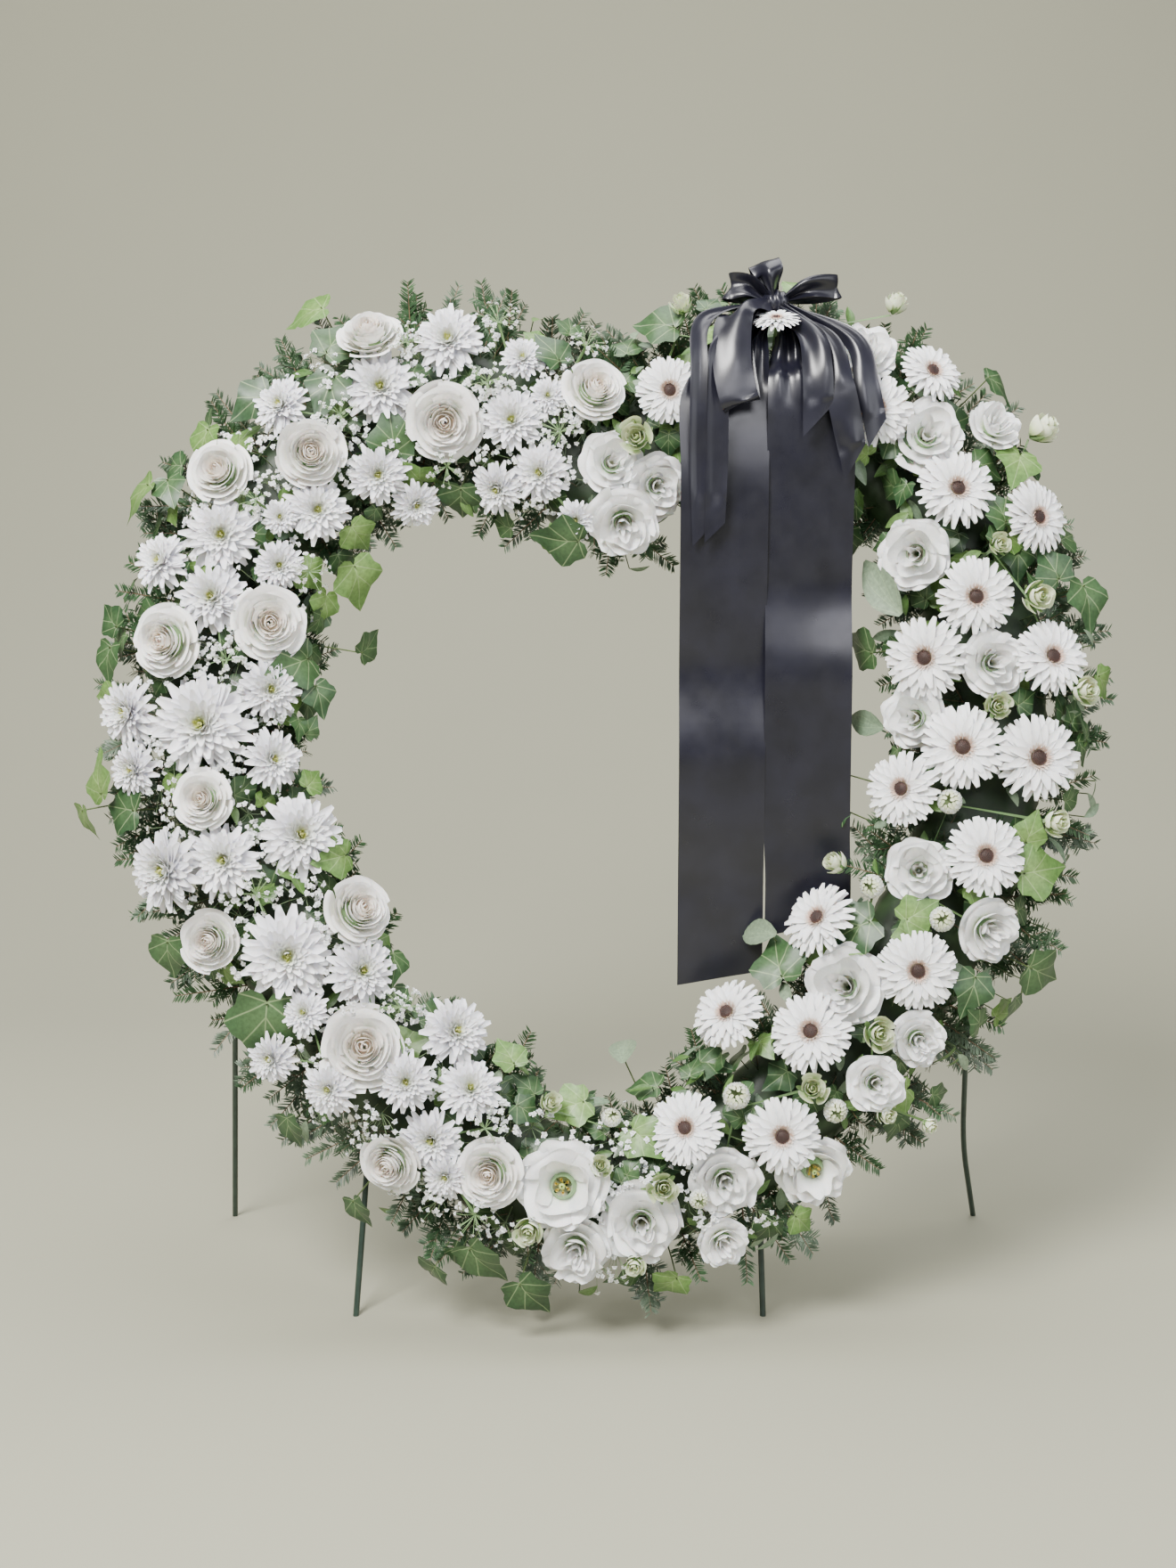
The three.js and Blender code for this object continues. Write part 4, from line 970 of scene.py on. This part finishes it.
leafy, fir = ({name: [] for name in GREENS} for _ in range(2))
for name, at, up, toward, size in leaves:
    if near_any(at, GREY_SPOTS, 30):
        leaf = set_in(one_of(GREY_FORMS), at - toward * size * 0.5, up, 0, size * 1.5, toward)
    else:
        group = IVY_FORMS["bright" if near_any(at, BRIGHT_SPOTS, 22) else "dark"]
        leaf = set_in(one_of(group), at, up, 0, size, toward)
    leafy[name].append(leaf)
    back = at - toward * size * 0.18
    t, offset, _, _ = dome(*at[:2])
    over = abs(offset) < 60
    foot = back * [1, 1, 0] + [0, 0, 52 if over else 26]
    foot[:2] -= outward_at(t) * (offset * 0.3 if over else offset - np.sign(offset) * 62)
    leafy[name].append(tube([foot, (foot + back) / 2 - up * 2, back], 0.9, (0.09, 0.13, 0.045), 5))

for name, foot, tip, offset in sprays:
    fir[name].append(fir_spray(foot, tip, (0, 0, 1), 24, 3 if offset < 0 else 4))

# Fir lies all round both edges, between the sprays that the solids have.
EDGE_FIR, BED_TWIGS, SMALL_LEAVES = 205, 600, 780
TWIG_REACH, LEAF_REACH, FOAM_EDGE, OVER_BACK, OVER_FLOOR = 98, 116, 60, 12, 60
for i in range(EDGE_FIR):
    t = (i + rng.uniform(0, 1)) / EDGE_FIR
    hand = 1 if i % 5 < 3 else -1
    slope = rng.uniform(-0.05, 0.75)
    outward = outward_3d(t) * hand
    along = np.array([-outward[1], outward[0], 0]) * rng.uniform(-0.6, 0.6)
    way = unit(unit(outward + along) * math.cos(slope) + [0, 0, math.sin(slope)])
    foot = place_at(t, hand * FOAM_EDGE, rng.uniform(16, 44))
    tip = foot + way * (rng.uniform(62, 92) * (1 if hand > 0 else 0.8))
    if tip[2] >= OVER_BACK and room_of(tip)[2] >= OVER_FLOOR:
        fir[sector_of(t)].append(fir_spray(foot, tip, unit(outward * 0.5 + [0, 0, 1]), 20, 2, 13))


# Short fir fills the bed between the stems and shows dark between the blooms.
for _ in range(BED_TWIGS):
    t = rng.random()
    offset = rng.uniform(-1, 1) * TWIG_REACH
    base = place_at(t, np.clip(offset * 0.7, -58, 58), 56 - 0.2 * abs(offset))
    outward = outward_3d(t)
    lean = unit(outward * (offset / 80) + rng.normal(0, 0.4, 3) * [1, 1, 0.2] + [0, 0, 1.0])
    tip = base + lean * rng.uniform(30, 58)
    line = np.stack([base, (base + tip) / 2, tip])
    if not clear_of_heads(line[1:], 0.2).all():
        continue
    heap = Heap()
    tone = np.array(FIR_GREY if rng.random() < 0.2 else FIR_TONE) * rng.uniform(0.55, 1.2)
    heap.add(tube(line, 0.7, BARK, 4, 0.4))
    needles(heap, line, 13, 2.3, tone, unit(np.cross(lean, rng.normal(0, 1, 3))), fine=False)
    fir[sector_of(t)].append(heap.form())

# Small leaves on stalks: ivy everywhere, and eucalyptus and pistachio mostly on the right.
for _ in range(SMALL_LEAVES):
    t = rng.random()
    offset = rng.uniform(-1, 1) * LEAF_REACH
    at = place_at(t, offset, dome_height(offset) - rng.uniform(4, 44))
    outward = outward_3d(t)
    up = unit(outward * offset / 80 + [0, 0, 1] + rng.normal(0, 0.3, 3))
    toward = unit(rng.normal(0, 1, 3) * [1, 1, 0.3] + outward * np.sign(offset) * 0.5)
    size = rng.uniform(20, 36)
    on_right = 0.5 < t
    if not on_right and rng.random() < 0.35:
        continue
    if not clear_of_heads(np.stack([at, at + toward * size * 0.6]), 0.12).all():
        continue
    if rng.random() < (0.45 if on_right else 0.7):
        form = one_of(IVY_FORMS["dark" if rng.random() < 0.75 else "bright"])
        size *= 1.2
    else:
        form = one_of(SMALL_FORMS)
    leafy[sector_of(t)].append(set_in(form, at, up, 0, size, toward))
    foot = place_at(t, np.clip(offset * 0.62, -FOAM_EDGE, FOAM_EDGE), 50 - 0.25 * abs(offset))
    mid = (foot + at) / 2 + outward * np.sign(offset) * 4
    leafy[sector_of(t)].append(tube([foot, mid, at], 0.7, (0.07, 0.11, 0.04), 4))

BED_SIDE = [(62, 6), (66, 20), (64, 36), (54, 52), (40, 61), (20, 62)]
BED = [(-x, y) for x, y in BED_SIDE] + [(0, 61)] + BED_SIDE[::-1]
BED_STEPS = 40
for k, name in enumerate(GREENS):
    steps = np.linspace(k / SECTORS, (k + 1) / SECTORS, BED_STEPS)
    bed = swept(steps, BED)
    bed = bed + rng.normal(0, 1.3, bed.shape)
    bed[..., 0] = np.where(steps[:, None] < 0.5, np.minimum(bed[..., 0], -GAP), np.maximum(bed[..., 0], GAP))
    shade = np.array((0.020, 0.042, 0.014)) * rng.uniform(0.6, 1.4, (BED_STEPS, len(BED), 1))
    fir[name].append(grids(bed, shade, 0.5))
    piece(f"{name}_fir", fir[name], NEEDLES, [name])
    piece(f"{name}_leaves", leafy[name], IVY_LEAF, [name])


# ---------------------------------------------------------------- clouds of gypsophila between the blooms
def floret_form():
    count = 9
    reach, lift = np.linspace(1.0, 0.6, count), np.linspace(0.15, 1.25, count)
    return petal_form(((0.72, 0.77, 0.60), (0.96, 0.96, 0.95), 0, 0.5), np.arange(count) * SPIRAL,
                      reach, 0.85, lift, 0.0, 0.5, 0.0, 3, 2, -0.1)


FLORETS = [floret_form() for _ in range(3)]
CLOUDS, CLOUD_PIECES, CLOUD_FLORETS, CLOUD_REACH = 230, 4, 12, 88
CLOUDS_FROM, CLOUDS_SPAN = 0.015, 0.53
clouds = [[] for _ in range(CLOUD_PIECES)]
for i in range(CLOUDS):
    t = CLOUDS_FROM + CLOUDS_SPAN * (i + rng.random()) / CLOUDS
    offset = rng.uniform(-1, 1) * CLOUD_REACH
    middle = place_at(t, offset, dome_height(offset) + 2)
    foot = place_at(t, offset * 0.55, 54)
    outward = outward_3d(t)
    up = unit(outward * offset / 110 + [0, 0, 1])
    fork = foot + (middle - foot) * 0.6
    into = clouds[min(CLOUD_PIECES - 1, int((t - CLOUDS_FROM) / (CLOUDS_SPAN / CLOUD_PIECES)))]
    began = len(into)
    for _ in range(CLOUD_FLORETS):
        spread = rng.normal(0, 12, 3)
        at = middle + spread - up * (np.dot(spread, up) * 0.6) - up * (np.linalg.norm(spread) * 0.35)
        if not clear_of_heads(at[None], 0.04).all():
            continue
        size = rng.uniform(3.2, 4.8)
        face = unit(up + spread / 30)
        into.append(set_in(one_of(FLORETS), at, face, rng.uniform(0, 6), size))
        twig = [fork, (fork + at) / 2 + rng.normal(0, 1.2, 3), at - face * 0.5]
        into.append(tube(twig, 0.35, (0.17, 0.27, 0.11), 3))
    if len(into) > began:
        into.append(tube([foot, fork], 0.6, (0.15, 0.25, 0.09), 4))
for k, forms in enumerate(clouds):
    piece(f"gypsophila_clouds_{k + 1}", forms, PETALS["chrysanthemum"], [])


# ---------------------------------------------------------------- black satin
def satin_material():
    material, tree, shader = begin(
        "black_satin", 0.3, Sheen_Weight=0.07, Sheen_Roughness=0.4, Anisotropic=0.2, Specular_IOR_Level=0.6)
    shader.inputs["Sheen Tint"].default_value = (0.55, 0.54, 0.70, 1)
    for scale, low, high, socket in (
        (1.2, (0.005, 0.005, 0.010), (0.010, 0.010, 0.019), "Base Color"), (2.0, 0.27, 0.35, "Roughness"),
    ):
        tone = ramp(tree, grain_noise(tree, scale, (1.0, 1.0, 5.0)), [(0.3, low), (0.7, high)])
        tree.links.new(tone.outputs[0], shader.inputs[socket])
    bump(tree, shader, grain_noise(tree, 150.0, (0.12, 1.0, 5.0)), 0.03, 0.0002)
    return material


SATIN = satin_material()
SATIN_TINT = (0.01, 0.01, 0.018)


def spline(points, count):
    """Points evenly along a smooth curve through the given ones."""
    points = np.asarray(points, float)
    padded = np.concatenate([[2 * points[0] - points[1]], points, [2 * points[-1] - points[-2]]])
    x = np.linspace(0, len(points) - 1, count)
    i = np.minimum(x.astype(int), len(points) - 2)
    f = (x - i)[:, None]
    return catmull(*(padded[i + k] for k in range(4)), f)


RIBBON_COLUMNS = 33


def ribbon(name, left, right, cut, pleats, seed, nodes, crease=()):
    """A satin sheet between two edge curves in heart millimetres. Where they run closer together than its cut
    width the cloth stands in pleats, so its width stays true."""
    draw = np.random.default_rng(seed)
    rows, columns = len(left), RIBBON_COLUMNS
    share = np.linspace(0, 1, columns)[None, :, None]
    flat = left[:, None] * (1 - share) + right[:, None] * share
    wide = np.linalg.norm(right - left, axis=1)
    along = unit(np.gradient((left + right) / 2, axis=0))
    out = unit(np.cross(along, unit(right - left)))
    swing = np.sqrt(np.maximum((cut / (2 * pleats)) ** 2 - (wide / (2 * pleats)) ** 2, 0)) / 2
    level = np.linspace(0, 1, rows)
    phase = draw.uniform(0, 6.28) + 0.5 * np.sin(level * 3 + draw.uniform(0, 6))
    wave = np.sin(share[..., 0] * math.tau * pleats + phase[:, None])
    soft = 0.9 * np.sin(share[..., 0] * 4.4 + 5 * level[:, None] + seed) * smooth(level, 0.02, 0.3)[:, None]
    fold = swing[:, None] * wave + soft
    if len(crease):
        panels = np.interp(level, *np.transpose([(0, 0), *crease, (1, 0)]))
        panels = np.convolve(np.pad(panels, 3, mode="edge"), np.ones(7) / 7, "valid")
        fold = fold + panels[:, None] * (1 + 0.25 * np.sin(share[..., 0] * 3 + seed))
    points = flat + out[:, None] * fold[..., None]
    lengths = np.concatenate([[0], np.cumsum(np.linalg.norm(np.diff((left + right) / 2, axis=0), axis=1))])
    grain = together(lengths[:, None] / 50, share[..., 0] * cut / 50, seed * 0.37)
    made = piece(name, [grids(points, SATIN_TINT, grain)], SATIN, nodes)


TAIL_LINE = [
    [107.3, 1129.6], [92, 1104], [74, 1080], [60, 1040], [56, 960], [55, 840], [57, 700], [55, 560],
]
LEFT_EDGES = [[172, 186.5], [134, 178], [106, 178.5], [82, 82 + RIBBON_WIDE]]
RIGHT_EDGES = [
    [187, 204], [187, 238], [180, 260], [177, 273], [177, 274], [177, 274], [177.5, 275], [178.5, 276],
    [181, 181 + RIBBON_WIDE],
]


# Each tail's last points below TAIL_LINE, and the bends of its panels: how far down each is, and how many
# millimetres it stands out.
TAIL_ENDS = {"left": [[57, 470], [62, 392]], "right": [[56, 500], [60, 450]]}
TAIL_CREASES = {
    "left": [(0.16, 7), (0.31, -9), (0.46, 5), (0.655, -12), (0.69, 5), (0.85, -5)],
    "right": [(0.1, 6), (0.235, -8), (0.27, 7), (0.42, 1), (0.585, -12), (0.62, 5), (0.8, -4)],
}
TAIL_CUT_SKEW, TAIL_ROWS, TAIL_PLEATS = 16, 120, 4
for hand, edges, seed in (("left", LEFT_EDGES, 3), ("right", RIGHT_EDGES, 5)):
    line = TAIL_LINE + TAIL_ENDS[hand]
    spans = edges + edges[-1:] * (len(line) - len(edges))
    left = [[low, y, z] for (low, _), (y, z) in zip(spans, line)]
    left[-1][2] -= TAIL_CUT_SKEW
    right = [[high, y, z] for (_, high), (y, z) in zip(spans, line)]
    ribbon(f"ribbon_tail_{hand}_satin", spline(room(left), TAIL_ROWS), spline(room(right), TAIL_ROWS),
           RIBBON_WIDE, TAIL_PLEATS, seed, [f"ribbon_tail_{hand}"], TAIL_CREASES[hand])

# Each strip of the bow: its name, the way it lies across, its widths and its middle line.
BOW_STRIPS = [
    ("loop_up", (0.9, 0.3, 0.3), [10, 30, 34, 30, 10],
     [[185, 1149, 140], [180, 1168, 154], [174, 1182, 142], [180, 1168, 128], [189, 1149, 124]]),
    ("loop_small", (0.3, 0.9, 0.3), [8, 24, 30, 24, 8],
     [[177, 1144, 139], [156, 1154, 152], [136, 1154, 144], [156, 1150, 132], [177, 1146, 125]]),
    ("loop_right", (-0.2, 0.9, 0.3), [8, 22, 26, 22, 8],
     [[199, 1144, 139], [226, 1154, 148], [256, 1156, 138], [228, 1150, 130], [199, 1144, 126]]),
    ("loop_left", (0.95, 0.3, 0), [8, 38, 42, 42, 38, 8],
     [[180, 1133, 143], [142, 1116, 174], [136, 1060, 188], [146, 1016, 184], [141, 1090, 166],
      [176, 1134, 128]]),
    ("end_1", (1, 0, 0), [9, 18, 19, 19, 18],
     [[175, 1138, 133], [108, 1112, 168], [101, 1050, 176], [101, 960, 158], [104, 876, 139]]),
    ("end_2", (1, 0, 0), [9, 21, 23, 23, 22],
     [[184, 1129, 136], [128, 1084, 180], [122, 1040, 183], [121, 950, 163], [119, 880, 147]]),
    ("end_3", (0.98, 0.2, 0), [10, 28, 33, 32],
     [[190, 1129, 138], [222, 1096, 172], [229, 1050, 184], [230, 998, 174]]),
    ("end_4", (0.95, 0.3, 0), [10, 27, 33, 33, 30],
     [[198, 1133, 137], [240, 1092, 166], [252, 1040, 180], [264, 990, 170], [272, 956, 160]]),
    ("end_5", (0.95, 0.3, 0), [10, 24, 27, 26],
     [[201, 1138, 131], [272, 1096, 148], [286, 1042, 158], [298, 990, 150]]),
]
STRIP_ROWS, SLANT_ROWS = 44, 8
for seed, (name, across, wide, line) in enumerate(BOW_STRIPS):
    centre = spline(line, STRIP_ROWS)
    half = spline(np.array(wide, float)[:, None], STRIP_ROWS)
    along = unit(np.gradient(centre, axis=0))
    side = unit(np.array(across, float) - along * (along @ np.array(across, float))[:, None])
    slant = np.zeros((STRIP_ROWS, 1))
    if name.startswith("end"):
        slant[-SLANT_ROWS:, 0] = np.linspace(0, 0.5, SLANT_ROWS) * max(wide)
    ribbon(f"bow_{name}", centre - side * half / 2 + along * slant, centre + side * half / 2 - along * slant,
           1.01 * max(wide), 1, 20 + seed, ["ribbon_bow"])

round_knot = np.linspace(0, math.tau, 48, endpoint=False)
levels = np.linspace(-1, 1, 21)[:, None]
pleat = 1 + 0.07 * np.sin(levels * 11 + 0.8 * np.sin(round_knot * 2))
swell = np.sqrt(np.clip(1.02 - levels**2 * 0.75, 0, 1)) * pleat * np.where(np.abs(levels) > 0.999, 0.25, 1.0)
knot = together(levels * 15, 14 * swell * np.cos(round_knot), 15 * swell * np.sin(round_knot))
knot_grain = together(round_knot / 2, levels, 0.4)
piece("bow_knot", [grids(knot + [188, 1140, 132], SATIN_TINT, knot_grain, loop=True)],
      SATIN, ["ribbon_bow"])


# ---------------------------------------------------------------- stand, tray and foam
def coated(name, roughness, low, high, scale, height, **inputs):
    material, tree, shader = begin(name, roughness, **inputs)
    noise = object_noise(tree, scale, 5.0)
    tone = ramp(tree, noise, [(0.3, low), (0.7, high)])
    tree.links.new(tone.outputs[0], shader.inputs["Base Color"])
    bump(tree, shader, noise, 0.3, height)
    return material


ROD_PAINT = coated(
    "stand_paint", 0.36, (0.010, 0.024, 0.017), (0.022, 0.044, 0.031), 90.0, 0.0004, Coat_Weight=0.3)
TRAY_PLASTIC = coated("tray_plastic", 0.55, (0.012, 0.024, 0.015), (0.022, 0.038, 0.024), 40.0, 0.0004)
FOAM_GREEN = coated("floral_foam", 0.95, (0.02, 0.07, 0.03), (0.045, 0.12, 0.055), 500.0, 0.0012)
ROD_LEVEL = -GAP - TRAY_THICK - GAP - ROD
ROD_SIDES = 12
ROD_TINT = (0.02, 0.04, 0.03)
FRONT_FEET, REAR_FEET = 6, 336
BELOW = -12
LEGS = [
    [[-265, 306, ROD_LEVEL], room([-287, FRONT_FEET, BELOW])],
    [[175, 227, ROD_LEVEL], room([181, FRONT_FEET, BELOW])],
    [[-430, 600, ROD_LEVEL], room([-478, REAR_FEET, BELOW])],
    [[430, 600, ROD_LEVEL], room([452, REAR_FEET - 62, 118]), room([482, REAR_FEET + 4, BELOW])],
]


def floor_cut(points, way):
    """Points below the floor slide back along the leg to it."""
    deep = np.minimum(room_of(points)[:, 2], 0)
    return points - way * (deep / room_of(way)[2])[:, None]


loop = np.concatenate([middle_at(np.linspace(0, 1, 241)), np.full((241, 1), ROD_LEVEL)], 1)
forms = [tube(loop, ROD, ROD_TINT, ROD_SIDES)]
for leg in LEGS:
    leg = np.asarray(leg, float)
    if len(leg) == 3:
        a, b, c = leg
        near, far = b + (a - b) * 0.1, b + (c - b) * 0.3
        t = np.linspace(0, 1, 9)[:, None]
        leg = np.concatenate([[a], near * (1 - t) ** 2 + 2 * b * t * (1 - t) + far * t * t, [c]])
    points, quads, tint, grain = tube(leg, ROD, ROD_TINT, ROD_SIDES)
    points = floor_cut(points, unit(leg[-1] - leg[-2]))
    forms.append((points, quads, tint, grain))
    foot = points[-ROD_SIDES:]
    forms.append(grids(np.stack([foot, np.broadcast_to(foot.mean(0), foot.shape)]), ROD_TINT, 0.5, loop=True))
piece("stand_rods", forms, ROD_PAINT, ["stand"])


def closed_ring(profile, rough, count=200):
    points = swept(np.linspace(0, 1, count + 1), profile)
    points[:-1] += rng.normal(0, rough, points[:-1].shape)
    points[-1] = points[0]
    return grids(points, 0.5, 0.5, loop=True)


TRAY_SIDE = FOAM_HALF + TRAY_RIM
low, high, round_off = -GAP - TRAY_THICK, -GAP, 0.6
tray_section = [
    (1 - TRAY_SIDE, low), (TRAY_SIDE - 1, low), (TRAY_SIDE, low + 1), (TRAY_SIDE, high - round_off),
    (TRAY_SIDE - round_off, high), (round_off - TRAY_SIDE, high), (-TRAY_SIDE, high - round_off),
    (-TRAY_SIDE, low + 1),
]
piece("tray_shell", [closed_ring(tray_section, 0.0)], TRAY_PLASTIC, ["tray"])
FOAM_SIDE = [(FOAM_HALF, 20), (FOAM_HALF, 38), (48, 44), (41, FOAM_DEEP), (20, FOAM_DEEP)]
foam_section = [(x, 0) for x in (-FOAM_HALF, -30, 0, 30, FOAM_HALF)] + FOAM_SIDE
foam_section += [(0, FOAM_DEEP)] + [(-x, y) for x, y in FOAM_SIDE[::-1]]
piece("foam_block", [closed_ring(foam_section, 0.25)], FOAM_GREEN, ["foam_heart"])

# ---------------------------------------------------------------- floor, light and camera
STUDIO = coated("studio_sweep", 0.9, (0.350, 0.346, 0.260), (0.364, 0.359, 0.270), 1.2, 0.0)
BACK, BEND = 3.4, 2.2
bend = [(BACK - BEND + BEND * math.sin(a), BEND - BEND * math.cos(a)) for a in np.linspace(0, math.pi / 2, 40)]
section = [(-12.0, 0.0), (-6.0, 0.0), (0.0, 0.0), *bend, (BACK, 5.0), (BACK, 9.0)]
corners = [(x, y, z) for x in (-14, 14) for y, z in section]
many = len(section)
mesh = bpy.data.meshes.new("studio_sweep")
mesh.from_pydata(corners, [], [(i, i + many, i + many + 1, i + 1) for i in range(many - 1)])
mesh.polygons.foreach_set("use_smooth", [True] * (many - 1))
mesh.materials.append(STUDIO)
backdrop = bpy.data.objects.new("studio_sweep", mesh)
bpy.context.scene.collection.objects.link(backdrop)


def lamp(name, at, aim, size, watts, colour):
    light = bpy.data.lights.new(name, "AREA")
    light.size, light.energy, light.color = size, watts, colour
    made = bpy.data.objects.new(name, light)
    made.location = at
    made.rotation_euler = (Vector(aim) - Vector(at)).to_track_quat("-Z", "Y").to_euler()
    bpy.context.scene.collection.objects.link(made)


lamp("key", (-1.3, -2.6, 3.3), (0, 0, 0.6), 1.4, 340, (1.0, 0.985, 0.96))
lamp("front", (0.6, -3.1, 2.2), (0.1, 0, 0.75), 0.9, 28, (0.94, 0.94, 1.0))
lamp("fill", (2.8, -2.4, 1.8), (0, 0, 0.5), 2.4, 50, (0.95, 0.97, 1.0))
lamp("over", (0.2, 0.2, 3.8), (0, 0.1, 0.4), 2.6, 130, (1.0, 1.0, 1.0))
world = bpy.data.worlds.new("studio_light")
world.use_nodes = True
sky = world.node_tree.nodes["Background"]
sky.inputs["Color"].default_value = (0.80, 0.81, 0.83, 1)
sky.inputs["Strength"].default_value = 0.42
bpy.context.scene.world = world

camera = bpy.data.cameras.new("photo_camera")
camera.sensor_fit = "VERTICAL"
camera.sensor_height = 36
camera.lens = 49.45
view = bpy.data.objects.new("photo_camera", camera)
view.location = (-0.0108, -2.4438, 0.989)
view.rotation_euler = (math.radians(81), 0, 0)
bpy.context.scene.collection.objects.link(view)
bpy.context.scene.camera = view
